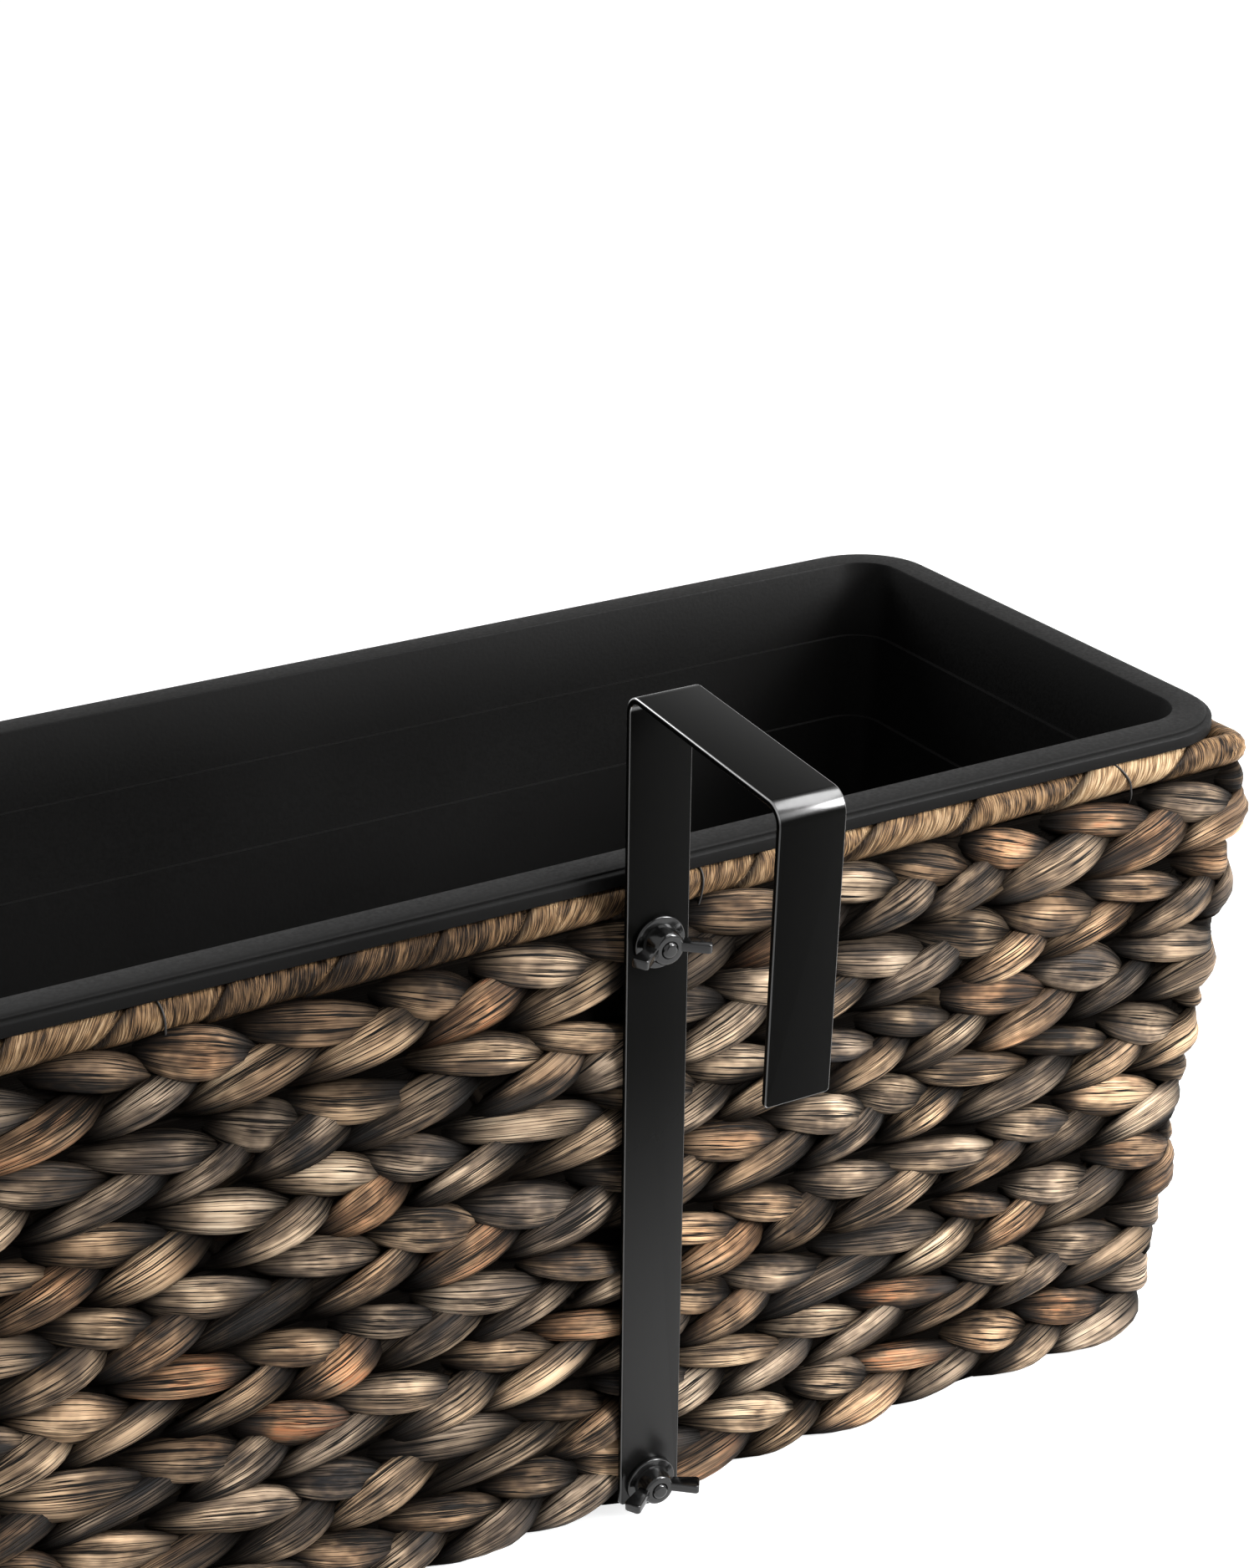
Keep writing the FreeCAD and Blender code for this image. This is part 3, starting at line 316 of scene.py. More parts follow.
lowerLeaf = {
    "thick": upperLeaf["thick"],
    "swing": [(0.03, -11.2), (0.15, -9.4), (0.30, -7.0), (0.45, -4.6), (0.60, -2.2), (0.72, -0.3), (0.82, 1.2),
              (0.90, 2.2), (0.95, 4.6), (0.985, 8.6)],
    "depth": [(0.0, -2.6), (0.04, -1.6), (0.09, -0.4), (0.16, 0.7), (0.26, 1.7), (0.38, 2.4), (0.50, 2.6),
              (0.60, 2.3), (0.70, 1.4), (0.80, -0.2), (0.90, -1.8), (0.95, -2.6)],
    "wide": [(0.0, 4.4), (0.04, 3.6), (0.10, 6.4), (0.18, 9.6), (0.30, 12.6), (0.45, 14.6), (0.60, 14.8),
             (0.72, 13.6), (0.80, 11.0), (0.87, 7.4), (0.93, 5.0)],
    "tilt": [(0.03, -12.0), (0.25, -4.0), (0.60, 2.0), (0.85, 6.0), (0.97, 0.0)],
}
tableSteps = 1024
tableBlur = 0.016        # in leaf lengths
milli = 0.001
upwards = np.array([0.0, 0.0, 1.0])


def leafTable(name):
    # an upper and a lower leaf end to end, smoothed so that nothing kinks
    places, numbers = [], []
    for turn in (-1, 0, 1, 2):
        for place, number in (lowerLeaf if turn % 2 else upperLeaf)[name]:
            places.append(place + turn)
            numbers.append(number)
    raw = np.interp(np.arange(tableSteps) * 2 / tableSteps, places, numbers)
    waves = np.fft.rfftfreq(tableSteps, 2 / tableSteps)
    return np.fft.irfft(np.fft.rfft(raw) * np.exp(-2 * (math.pi * waves * tableBlur) ** 2), tableSteps)


leafTables = {name: leafTable(name) for name in upperLeaf}


def leafValue(name, leafPlace):
    table = leafTables[name]
    grid = np.arange(tableSteps + 1) * 2 / tableSteps
    return np.interp(leafPlace % 2, grid, np.append(table, table[0]))


def ringLine(halfLength, halfWidth, radius, height, steps):
    # even steps round a rectangle with round corners, counter-clockwise, from the middle of the back
    flatX, flatY, arc = halfLength - radius, halfWidth - radius, math.pi * radius / 2
    ends = np.cumsum([0, flatX, arc, 2 * flatY, arc, 2 * flatX, arc, 2 * flatY, arc, flatX])
    pivots = [(0, flatY), (-flatX, flatY), (-flatX, -flatY), (flatX, -flatY), (flatX, flatY)]
    place = np.arange(steps) * ends[-1] / steps
    centre, outward = np.full((steps, 3), float(height)), np.zeros((steps, 3))
    for run in range(9):
        inside = (place >= ends[run]) & (place < ends[run + 1])
        rest = place[inside] - ends[run]
        bent, straight = (rest / radius, 0.0) if run % 2 else (0.0 * rest, rest)
        turn = math.pi / 2 * (1 + run // 2) + bent
        cosine, sine = np.cos(turn), np.sin(turn)
        pivot = pivots[(run + 1) // 2]
        centre[inside, 0] = pivot[0] + radius * cosine - straight * sine
        centre[inside, 1] = pivot[1] + radius * sine + straight * cosine
        outward[inside, 0], outward[inside, 1] = cosine, sine
    return centre, outward, ends[-1]


def unit(rows):
    return rows / np.linalg.norm(rows, axis=-1, keepdims=True)


def around(steps):
    return 2 * math.pi * np.arange(steps) / steps


def softWaves(rng, steps, cycles):
    # a closed, seeded wave of about unit size
    place = around(steps)
    return sum(np.sin(cycle * place + rng.uniform(0, 2 * math.pi)) for cycle in cycles) / math.sqrt(len(cycles))


def powered(wave, power):
    return np.sign(wave) * np.abs(wave) ** power


def loopHeading(line):
    return unit(np.roll(line, -1, axis=0) - np.roll(line, 1, axis=0))


def strandTube(line, leafPlace, chance, look, closed, size=1.0):
    centre, outward, up = line
    which = np.floor(leafPlace).astype(int) % chance["width"].size
    depth = leafValue("depth", leafPlace) * milli * size
    hump = np.clip(0.5 + depth / (look["hump"] * size), 0, 1)
    depth = np.maximum(depth, look["deepest"])
    swing = leafValue("swing", leafPlace) * milli * size + chance["lift"][which] * hump
    depth = depth + chance["proud"][which] * hump
    wide = leafValue("wide", leafPlace) * milli * size * (1 + (chance["width"][which] - 1) * hump)
    thick = leafValue("thick", leafPlace) * milli * (1 + (chance["bulge"][which] - 1) * hump)
    lean = np.radians(leafValue("tilt", leafPlace)) + chance["lean"][which] * hump

    middle = centre + outward * depth[:, None] + up * swing[:, None]
    heading = loopHeading(middle) if closed else unit(np.gradient(middle, axis=0))
    facing = unit(outward - heading * np.sum(outward * heading, axis=1, keepdims=True))
    upward = np.cross(facing, heading)
    cosine, sine = np.cos(lean)[:, None], np.sin(lean)[:, None]
    side = upward * cosine - facing * sine
    face = facing * cosine + upward * sine

    angle = around(look["sides"])
    flat = np.cos(angle)[None, :] * wide[:, None] / 2
    fold = 1 + look["ridge"] * np.cos(chance["folds"][which][:, None] * angle[None, :] + chance["turn"][which][:, None])
    full = powered(np.sin(angle), look["roundness"])[None, :] * fold * thick[:, None] / 2
    points = middle[:, None, :] + side[:, None, :] * flat[:, :, None] + face[:, None, :] * full[:, :, None]
    # the last channel is a mask for painted shade: it goes dark where a leaf sinks between its neighbours
    reach = np.abs(np.einsum("rsk,rk->rs", points - centre[:, None, :], outward)) / size
    shut, clear = look["creviceShade"]
    unoccluded = np.clip((reach - shut) / (clear - shut), 0, 1)
    colour = np.empty((*points.shape[:2], 4))
    for channel, name in enumerate(("tone", "tint", "seed")):
        colour[:, :, channel] = chance[name][which][:, None]
    colour[:, :, 3] = unoccluded * unoccluded * (3 - 2 * unoccluded)
    return points, leafPlace, colour


def mappedMesh(name, points, faces, cornerMap, colours):
    # a mesh with its own map and leaf colours
    mesh = bpy.data.meshes.new(name)
    mesh.vertices.add(len(points))
    mesh.vertices.foreach_set("co", points.astype(np.float32).ravel())
    mesh.loops.add(faces.size)
    mesh.loops.foreach_set("vertex_index", faces.astype(np.int32).ravel())
    mesh.polygons.add(len(faces))
    mesh.polygons.foreach_set("loop_start", np.arange(0, faces.size, 4, dtype=np.int32))
    mesh.update(calc_edges=True)
    strandMap = mesh.uv_layers.new(name="strand")
    strandMap.data.foreach_set("uv", cornerMap.astype(np.float32).ravel())
    leafColour = mesh.color_attributes.new("leaf", "FLOAT_COLOR", "POINT")
    leafColour.data.foreach_set("color", colours.astype(np.float32).ravel())
    mesh.polygons.foreach_set("use_smooth", np.ones(len(mesh.polygons), dtype=bool))
    piece = bpy.data.objects.new(name, mesh)
    bpy.context.scene.collection.objects.link(piece)
    return piece


def tubesMesh(name, tubes, closed):
    rows, start = [], 0
    for points, leafPlace, colour in tubes:
        rings, sides = points.shape[:2]
        ring = np.arange(rings if closed else rings - 1)
        here, after = ring[:, None] * sides, ((ring + 1) % rings)[:, None] * sides
        k, kNext = np.arange(sides)[None, :], (np.arange(sides)[None, :] + 1) % sides
        quads = np.stack([here + k, here + kNext, after + kNext, after + k], axis=2).reshape(-1, 4)
        nextPlace = np.append(leafPlace[1:], 2 * leafPlace[-1] - leafPlace[-2])
        low = np.repeat(leafPlace[ring][:, None], sides, axis=1)
        high = np.repeat(nextPlace[ring][:, None], sides, axis=1)
        left = np.repeat(np.arange(sides)[None, :] / sides, len(ring), axis=0)
        right = left + 1 / sides
        uMap, vMap = np.stack([low, low, high, high], axis=2), np.stack([left, right, right, left], axis=2)
        points = points.reshape(-1, 3)
        points[:, 2] = np.maximum(points[:, 2], plait["standing"])
        rows.append((points, quads + start, np.stack([uMap, vMap], axis=3).reshape(-1, 2), colour.reshape(-1, 4)))
        start += rings * sides
    return mappedMesh(name, *(np.concatenate(parts) for parts in zip(*rows)))


def leafChances(rng, leaves):
    return {
        "width": rng.normal(1.0, 0.14, leaves).clip(0.70, 1.26),
        "bulge": rng.normal(1.0, 0.14, leaves).clip(0.70, 1.26),
        "lift": rng.normal(0.0, 0.0010, leaves).clip(-0.0020, 0.0020),
        "proud": rng.normal(0.0, 0.0004, leaves).clip(-0.0009, 0.0005),
        "lean": rng.normal(0.0, 0.15, leaves),
        "folds": rng.integers(3, 7, leaves).astype(float),
        "turn": rng.uniform(0, 2 * math.pi, leaves),
        "tone": rng.beta(1.8, 1.8, leaves),
        "tint": rng.uniform(0, 1, leaves),
        "seed": rng.uniform(0, 1, leaves),
    }


rowPlan = {"count": 8, "thickness": 0.011, "corner": 0.0135}
leafFinish = leafMaterial("braidedLeaf", leafLook)
lowestRow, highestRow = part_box("braid_row_1")[1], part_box("braid_row_8")[1]
wallLean = np.array([highestRow.x - lowestRow.x, highestRow.y - lowestRow.y]) / (highestRow.z - lowestRow.z)


def plaitShadeCore(centre, outward):
    # a flat strand painted black as shade, leaning with the wall, that closes the view between the leaves
    plan = shadeCorePlan
    angle = 2 * math.pi * (np.arange(plan["sides"]) + 0.5) / plan["sides"]
    tall = powered(np.cos(angle), plan["square"]) * plan["high"]
    thick = powered(np.sin(angle), plan["square"]) * plan["thick"] - plan["depth"]
    depth = thick[None, :] + (outward[:, :2] ** 2 @ wallLean)[:, None] * tall[None, :]
    points = centre[:, None, :] + upwards * tall[None, :, None] + outward[:, None, :] * depth[:, :, None]
    return points, np.full(len(centre), plan["leafPlace"]), np.tile(plan["colour"], (len(centre), plan["sides"], 1))


def leafPlaces(steps, look, strand, start):
    return 2 * (np.arange(steps) / look["stations"] + strand / look["strands"]) + start


def plaitRow(number):
    low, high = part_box(f"braid_row_{number}")
    rng = np.random.default_rng(plait["seed"] + number)
    inset = rowPlan["thickness"] / 2
    shape = (high.x - inset, high.y - inset, rowPlan["corner"] - inset, (low.z + high.z) / 2)
    weaves = round(ringLine(*shape, 8)[2] / plait["leafTurn"])
    steps = weaves * plait["stations"]
    centre, outward, _ = ringLine(*shape, steps)
    up = np.tile(upwards, (steps, 1))
    centre[:, 2] += plait["wander"] * softWaves(rng, steps, (3, 5, 8, 13))
    start = rng.uniform(0, 2)
    drift = plait["uneven"] * softWaves(rng, steps, (7, 11, 17, 23))
    tubes = []
    for strand in range(plait["strands"]):
        own = drift + plait["uneven"] * 0.5 * softWaves(rng, steps, (9, 14, 21))
        leafPlace = leafPlaces(steps, plait, strand, start) + own
        tubes.append(strandTube((centre, outward, up), leafPlace, leafChances(rng, 2 * weaves), plait, True))
    tubes.append(plaitShadeCore(centre[::shadeCorePlan["every"]], outward[::shadeCorePlan["every"]]))

    # the same plait again on the inner side, with fewer faces
    every = plait["stations"] // innerPlait["stations"]
    line = (centre[::every], -outward[::every], up[::every])
    for strand in range(plait["strands"]):
        leafPlace = leafPlaces(steps, plait, strand, start) + drift + 0.5
        tubes.append(strandTube(line, leafPlace[::every], leafChances(rng, 2 * weaves), innerPlait, True))
    piece = tubesMesh(f"plaitRow{number}", tubes, True)
    hand(piece, "basket", "braid", leafFinish, f"braid_row_{number}")


for number in range(1, rowPlan["count"] + 1):
    plaitRow(number)
print("plait rows done")


# base: seven flat plaits side by side, seen only from below

basePlait = dict(plait, stations=24, sides=12)
baseStrips = {"count": 7, "pitch": 0.0224, "size": 0.90, "endInset": 0.004, "endSize": 0.05, "seed": 40}


def basePlaits():
    low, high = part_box("base_braids")
    rng = np.random.default_rng(plait["seed"] + baseStrips["seed"])
    steps = round((high.x - low.x) / basePlait["leafTurn"] * basePlait["stations"])
    leaves = 2 * (steps // basePlait["stations"] + 2)
    outward, up = np.tile((0.0, 0.0, -1.0), (steps, 1)), np.tile((0.0, -1.0, 0.0), (steps, 1))
    tubes = []
    for strip in range(baseStrips["count"]):
        centre = np.zeros((steps, 3))
        centre[:, 0] = np.linspace(low.x + baseStrips["endInset"], high.x - baseStrips["endInset"], steps)
        centre[:, 1] = (strip - (baseStrips["count"] - 1) / 2) * baseStrips["pitch"]
        centre[:, 2] = (low.z + high.z) / 2
        start = rng.uniform(0, 2)
        for strand in range(basePlait["strands"]):
            leafPlace = leafPlaces(steps, basePlait, strand, start)
            tube = strandTube((centre, outward, up), leafPlace, leafChances(rng, leaves), basePlait, False,
                              baseStrips["size"])
            for end in (0, -1):     # the cut ends are drawn together
                middle = tube[0][end].mean(axis=0)
                tube[0][end] = middle + (tube[0][end] - middle) * baseStrips["endSize"]
            tubes.append(tube)
    hand(tubesMesh("basePlaits", tubes, False), "basket", "braid", leafFinish, "base_braids")


basePlaits()
print("base plaits done")


# wrapped edge: flat rush wound round the top rod, tied down with dark thread

wrapLook = {
    "turnWidth": 0.036, "turnSpread": 0.32, "radius": 0.0050, "step": 0.0010, "corner": 0.0036,
    "sides": 28, "lineSteps": 4000, "seed": 77,
    "shares": [0.0, 0.012, 0.035, 0.08, 0.14, 0.20, 0.26, 0.32, 0.38, 0.44, 0.50, 0.56, 0.62, 0.68, 0.74, 0.80,
               0.86, 0.92, 0.97],      # where the rings of a turn are
    "riseAt": (0, 0.012, 0.05, 0.5, 1.0), "rise": (0.0, 0.8, 1.0, 0.5, 0.0),      # each turn laps over the last
    "tuck": (0.4, 1.3), "cornerTuck": 1.7, "cornerTurn": 0.02,
    "cornerTone": 1.15,        # a pale leaf is folded round each corner
    "dark": (0.007, 0.0045, 0.003), "brown": (0.090, 0.054, 0.029), "gold": (0.245, 0.147, 0.074),
    "pale": (0.575, 0.424, 0.258),
    "stops": {"dark": 0.0, "brown": 0.26, "gold": 0.50, "pale": 0.86},
    "slant": 0.30, "slantSpread": 0.60, "seedSpan": 53.0,
    "noises": {"hairs": (5.0, 104.0, 0.0, 2.0, 0.6), "bands": (3.0, 9.0, 9.0, 2.0, 0.6)},
    "light": {"hairs": (0.38, 0.62, 0.44), "bands": (0.34, 0.66, 0.30)}, "toneLight": 0.56,
    # painted shade on the underside of the wrapping, and a painted shadow at the step where each turn meets the last
    "under": (0.46, 0.27), "underShare": 0.85, "tuckedShade": (0.01, 0.16), "tuckedShadeShare": 0.9,
    "bumpDepth": 0.0005, "roughness": 0.40, "shine": 0.07,
}


def rushMaterial(name, look):
    material, tree, shader = newMaterial(name)
    turn, climb, tone, tint, seed, _ = strandParts(tree)
    # the fibres of each turn lie at their own slant, steeper than the turn itself
    slant = plus(times(tint, look["slantSpread"]), look["slant"])
    across = plus(turn, times(slant, climb))
    noise = strandNoises((climb, across, times(seed, look["seedSpan"])), look["noises"])
    colour = strandShade(noise, tone, look)
    # painted shade beneath the wrapping and painted shadow at each turn's step
    colour = mixColour(times(spread(climb, *look["under"]), look["underShare"]), colour, look["dark"])
    tuckedShade = minus(1.0, spread(math2("FRACT", turn), *look["tuckedShade"]))
    colour = mixColour(times(tuckedShade, look["tuckedShadeShare"]), colour, look["dark"])
    feed(shader, {
        "Base Color": colour, "Normal": bumpFrom(noise["hairs"], look["bumpDepth"]),
        "Roughness": look["roughness"], "Specular IOR Level": look["shine"]})
    return material


def wrapLine():
    low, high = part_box("rim_wrap")
    half, steps = (high.z - low.z) / 2, wrapLook["lineSteps"]
    centre, outward, total = ringLine(high.x - half, high.y - half, wrapLook["corner"], (low.z + high.z) / 2, steps)
    grid = np.linspace(0, total, steps + 1)
    loops = [np.vstack([line, line[:1]]) for line in (centre, outward)]

    def at(place):
        middle, out = (np.stack([np.interp(place % total, grid, loop[:, axis]) for axis in range(3)], axis=-1)
                       for loop in loops)
        return middle, unit(out)

    return at, total


def wrapTurns(total):
    rng = np.random.default_rng(wrapLook["seed"])
    turns = round(total / wrapLook["turnWidth"])
    widths = rng.uniform(1 - wrapLook["turnSpread"], 1 + wrapLook["turnSpread"], turns)
    edges = np.concatenate([[0], np.cumsum(widths)]) * total / widths.sum()
    return rng, turns, edges


def rimWrap():
    look = wrapLook
    at, total = wrapLine()
    rng, turns, edges = wrapTurns(total)
    shares, sides = np.array(look["shares"]), look["sides"]
    starts = (np.arange(turns)[:, None] + shares[None, :]).ravel()
    angle = around(sides) - math.pi       # 0 is outwards, the seam is inside
    climb = starts[:, None] + (angle[None, :] + math.pi) / (2 * math.pi)
    turn = np.floor(climb)
    place = np.interp(climb - turn + turn % turns, np.arange(turns + 1), edges)
    middle, out = at(place)
    tucks = rng.uniform(*look["tuck"], turns)
    facing = np.abs(at((edges[:-1] + edges[1:]) / 2 + look["turnWidth"] / 2)[1])
    atCorner = np.minimum(facing[:, 0], facing[:, 1]) > look["cornerTurn"]
    tucks[atCorner] = look["cornerTuck"]
    rise = np.interp(shares, look["riseAt"], look["rise"])
    reach = look["radius"] + look["step"] * (np.outer(tucks, rise).ravel() - 0.5)
    spokes = out * np.cos(angle)[None, :, None] + upwards * np.sin(angle)[None, :, None]
    points = middle + reach[:, None, None] * spokes

    # rings climb, so the end of each meets the start of the ring one turn later
    rings, perTurn = len(starts), len(shares)
    ring, side = np.meshgrid(np.arange(rings), np.arange(sides), indexing="ij")
    after, nextSide = (ring + 1) % rings, (side + 1) % sides
    jump = np.where(nextSide == 0, perTurn, 0)
    faces = np.stack([ring * sides + side, ((ring + jump) % rings) * sides + nextSide,
                      ((after + jump) % rings) * sides + nextSide, after * sides + side], axis=2).reshape(-1, 4)
    u = starts[ring]
    uAfter = u + (starts[after] - u) % turns - 1e-4      # stays short of the next turn
    v, vNext = side / sides, (side + 1) / sides
    cornerMap = np.stack([np.stack([u, u, uAfter, uAfter], axis=2),
                          np.stack([v, vNext, vNext, v], axis=2)], axis=3).reshape(-1, 2)
    colours = np.stack([rng.beta(2.0, 2.4, turns), rng.uniform(0, 1, turns), rng.uniform(0, 1, turns),
                        np.ones(turns)], axis=1)
    colours[atCorner, 0] = look["cornerTone"]
    return mappedMesh("rimWrap", points.reshape(-1, 3), faces, cornerMap, np.repeat(colours, perTurn * sides, axis=0))


thread = {"radius": 0.00032, "sides": 6, "steps": 26, "reach": 0.0054, "drop": 0.0040, "share": 0.4, "seed": 78,
          "shift": 0.002, "skew": 0.0035, "leaf": (0.1, 0.5, 0.5, 1.0), "colour": (0.012, 0.010, 0.009, 1),
          "roughness": 0.55}


def rimThreads():
    # at some turns a loop of thread goes round the wrapping and down into the top row
    at, total = wrapLine()
    edges = wrapTurns(total)[2]
    rng = np.random.default_rng(thread["seed"])
    angle, threadAngle = around(thread["steps"]), around(thread["sides"])
    cosine, sine = np.cos(threadAngle)[None, :, None], np.sin(threadAngle)[None, :, None]
    height = np.where(np.sin(angle) > 0, thread["reach"], thread["reach"] + thread["drop"]) * np.sin(angle)
    colour = np.tile(thread["leaf"], (thread["steps"], thread["sides"], 1))
    tubes = []
    for edge in edges[:-1][rng.random(len(edges) - 1) < thread["share"]]:
        middle, out = at(np.full(1, edge + rng.uniform(-thread["shift"], thread["shift"])))
        ahead = np.array([-out[0, 1], out[0, 0], 0.0])
        skew = rng.uniform(-thread["skew"], thread["skew"])
        line = (middle + np.cos(angle)[:, None] * thread["reach"] * out + height[:, None] * upwards
                + (skew * np.cos(angle + rng.uniform(0, 6)))[:, None] * ahead)
        heading = loopHeading(line)
        first = unit(np.cross(heading, ahead))
        second = np.cross(heading, first)
        points = line[:, None, :] + thread["radius"] * (first[:, None, :] * cosine + second[:, None, :] * sine)
        tubes.append((points, np.linspace(0, 1, thread["steps"]), colour))
    return tubesMesh("rimThreads", tubes, True)


hand(rimWrap(), "basket", "rush_wrap", rushMaterial("woundRush", wrapLook), "rim_wrap")
threadFinish, _, threadShader = newMaterial("darkThread")
feed(threadShader, {"Base Color": thread["colour"], "Roughness": thread["roughness"]})
hand(rimThreads(), "basket", "rush_wrap", threadFinish)
print("wrapped edge done")


# plain finishes for liner, hooks and frame

linerLook = {
    "shades": [(0.35, (0.0042, 0.0041, 0.0040)), (0.70, (0.0056, 0.0055, 0.0054))],
    "cloudScale": 14.0, "grainScale": 900.0, "grainDetail": 3.0, "bump": (0.00012, 0.35),
    "levelFrom": (0.40, 0.90), "upFacingHighlight": 1.4,       # painted highlight: faces turned up are painted lighter
    "roughness": (0.44, 0.58), "shine": 0.06,
}
hookLook = {
    "colour": (0.0032, 0.0032, 0.0030), "roughness": (0.22, 0.26), "skinScale": 420.0, "bump": (0.00005, 0.2),
    "shine": 0.027, "lowShine": 0.20, "lowFrom": (0.17, 0.05),      # glossier towards the foot
    "edgeShine": 0.9, "edgeCoat": 2.6, "coatRoughness": 0.15,
    # ranges of the normal that tell an edge or a bend
    "curved": (0.985, 0.90), "tilted": (0.10, 0.40, 0.25, 1.0), "sideways": (0.15, 0.45),
}
paintBump = (0.00006, 0.25)      # depth and strength
fastenerLook = {"colour": (0.0030, 0.0030, 0.0030), "roughness": (0.13, 0.19), "skinScale": 900.0, "shine": 0.50}
rodLook = {"colour": (0.030, 0.026, 0.022), "roughness": (0.47, 0.53), "skinScale": 500.0, "shine": 0.40}


def plasticMaterial(name, look):
    material, tree, shader = newMaterial(name)
    grain = objectNoise(tree, look["grainScale"], look["grainDetail"])
    colour = ramp(objectNoise(tree, look["cloudScale"]), look["shades"])
    # painted highlight on faces turned up
    upFacingHighlight = spread(normalParts(tree)[2], *look["levelFrom"], 1.0, look["upFacingHighlight"])
    feed(shader, {
        "Base Color": scaled(colour, upFacingHighlight), "Roughness": varied(grain, look["roughness"]),
        "Normal": bumpFrom(grain, *look["bump"]), "Specular IOR Level": look["shine"]})
    return material


def paintMaterial(name, look):
    material, tree, shader = newMaterial(name)
    skin = objectNoise(tree, look["skinScale"])
    shade = ramp(skin, [(0.3, tuple(0.9 * part for part in look["colour"])), (0.7, look["colour"])])
    feed(shader, {
        "Base Color": shade, "Roughness": varied(skin, look["roughness"]),
        "Normal": bumpFrom(skin, *paintBump), "Specular IOR Level": look["shine"]})
    return material


def hookMaterial(name, look):
    material, tree, shader = newMaterial(name)
    spot = addNode(tree, "TexCoord").outputs["Object"]
    height = addNode(tree, "SeparateXYZ", {0: spot}).outputs[2]
    parts = [math2("ABSOLUTE", part) for part in normalParts(tree)]
    flat = larger(larger(parts[0], parts[1]), parts[2])
    # 1 on bends and rounded edges, less on upright edges
    turned = times(spread(flat, *look["curved"]), spread(parts[2], *look["tilted"]))
    low = times(spread(height, *look["lowFrom"]), look["lowShine"] - look["shine"])
    shine = larger(plus(look["shine"], low), times(turned, look["edgeShine"]))
    skin = objectNoise(tree, look["skinScale"])
    feed(shader, {
        "Base Color": (*look["colour"], 1), "Roughness": varied(skin, look["roughness"]),
        "Normal": bumpFrom(skin, *look["bump"]), "Specular IOR Level": shine,
        "Coat Weight": times(turned, spread(parts[0], *look["sideways"])),
        "Coat IOR": look["edgeCoat"], "Coat Roughness": look["coatRoughness"]})
    return material


linerFinish = plasticMaterial("linerPlastic", linerLook)
hookFinish = hookMaterial("hookPaint", hookLook)
boltFinish = paintMaterial("fastenerBlack", fastenerLook)
rodFinish = paintMaterial("frameRod", rodLook)


# mesh steps that several pieces share

def pick(piece, mode, test):
    # selects the points, edges or faces that pass a test and leaves the piece in edit mode
    startEdit(piece, mode)
    bpy.ops.mesh.select_all(action="DESELECT")
    endEdit()
    mesh = piece.data
    for element in {"VERT": mesh.vertices, "EDGE": mesh.edges, "FACE": mesh.polygons}[mode]:
        element.select = test(element)
    bpy.ops.object.mode_set(mode="EDIT")


def added(operator, **settings):
    clearSelection()
    operator(**settings)
    return bpy.context.object


def push(move):
    bpy.ops.mesh.extrude_region_move(TRANSFORM_OT_translate={"value": move})


def finished(piece, degrees=40):
    # faces turned outwards, and smooth where they meet at less than an angle
    startEdit(piece)
    bpy.ops.mesh.select_all(action="SELECT")
    bpy.ops.mesh.normals_make_consistent(inside=False)
    endEdit()
    bpy.ops.object.shade_smooth_by_angle(angle=math.radians(degrees))
    return piece


def roundEdges(piece, width):
    edges = piece.modifiers.new("edges", "BEVEL")
    edges.width, edges.segments, edges.angle_limit = width, 3, math.radians(50)
    applyAll(piece)


def ownCopy(piece, name):
    twin = piece.copy()
    twin.data = piece.data.copy()
    twin.name = name
    bpy.context.scene.collection.objects.link(twin)
    return twin


def joinAll(pieces):
    # the first piece takes in the others
    clearSelection()
    for piece in pieces:
        piece.select_set(True)
    bpy.context.view_layer.objects.active = pieces[0]
    bpy.ops.object.join()
    return pieces[0]


# liner: stepped rim, two ledges inside and a round foot

linerPlan = {
    "rim": (0.3942, 0.1012), "corner": 0.027, "cornerSteps": 12, "rimFoot": 0.2098,
    # inwards and upwards from the rim's lower edge to its mouth
    "rimSteps": [(0.0002, 0.0004), (0.0004, 0.0003), (0.0011, 0.0001), (0.0001, 0.0006), (0.0003, 0.0003),
                 (0.0006, 0.0002), (0.0009, 0.0001), (0.0083, 0.0), (0.0003, -0.0001), (0.0003, -0.0005)],
    "rimFace": 0.0032, "lip": 0.0006,
    "mouth": (0.3817, 0.0887), "slope": (0.112, 0.0489), "top": 0.215,
    "ledges": (0.189, 0.160), "ledge": 0.0016, "floor": 0.0222, "wall": 0.0022, "foot": 0.020,
    # inwards and downwards round the foot
    "footSteps": [(0.0008, 0.0020), (0.0022, 0.0015), (0.0040, 0.0005)], "footRise": 0.004,
    "smooth": 32,
}


def linerReach(height, ledges, wall):
    plan = linerPlan
    fall = plan["top"] - height
    return [plan["mouth"][axis] - fall * plan["slope"][axis] - ledges * plan["ledge"] + wall for axis in (0, 1)]


def linerWall(start, levels, wall):
    # runs a wall down through its ledges to a round foot, from the face that is selected
    plan = linerPlan
    size, height = start, levels[0]
    for tier, lower in enumerate(levels[1:]):
        target = linerReach(lower, tier, wall)
        push((0, 0, lower - height))
        ratio = (target[0] / size[0], target[1] / size[1], 1.0)
        bpy.ops.transform.resize(value=ratio, center_override=(0, 0, lower))
        size, height = target, lower
        if tier < len(levels) - 2:
            bpy.ops.mesh.inset(thickness=plan["ledge"], depth=0.0)
            size = [reach - plan["ledge"] for reach in size]
    for inward, fall in plan["footSteps"]:
        bpy.ops.mesh.inset(thickness=inward, depth=fall)


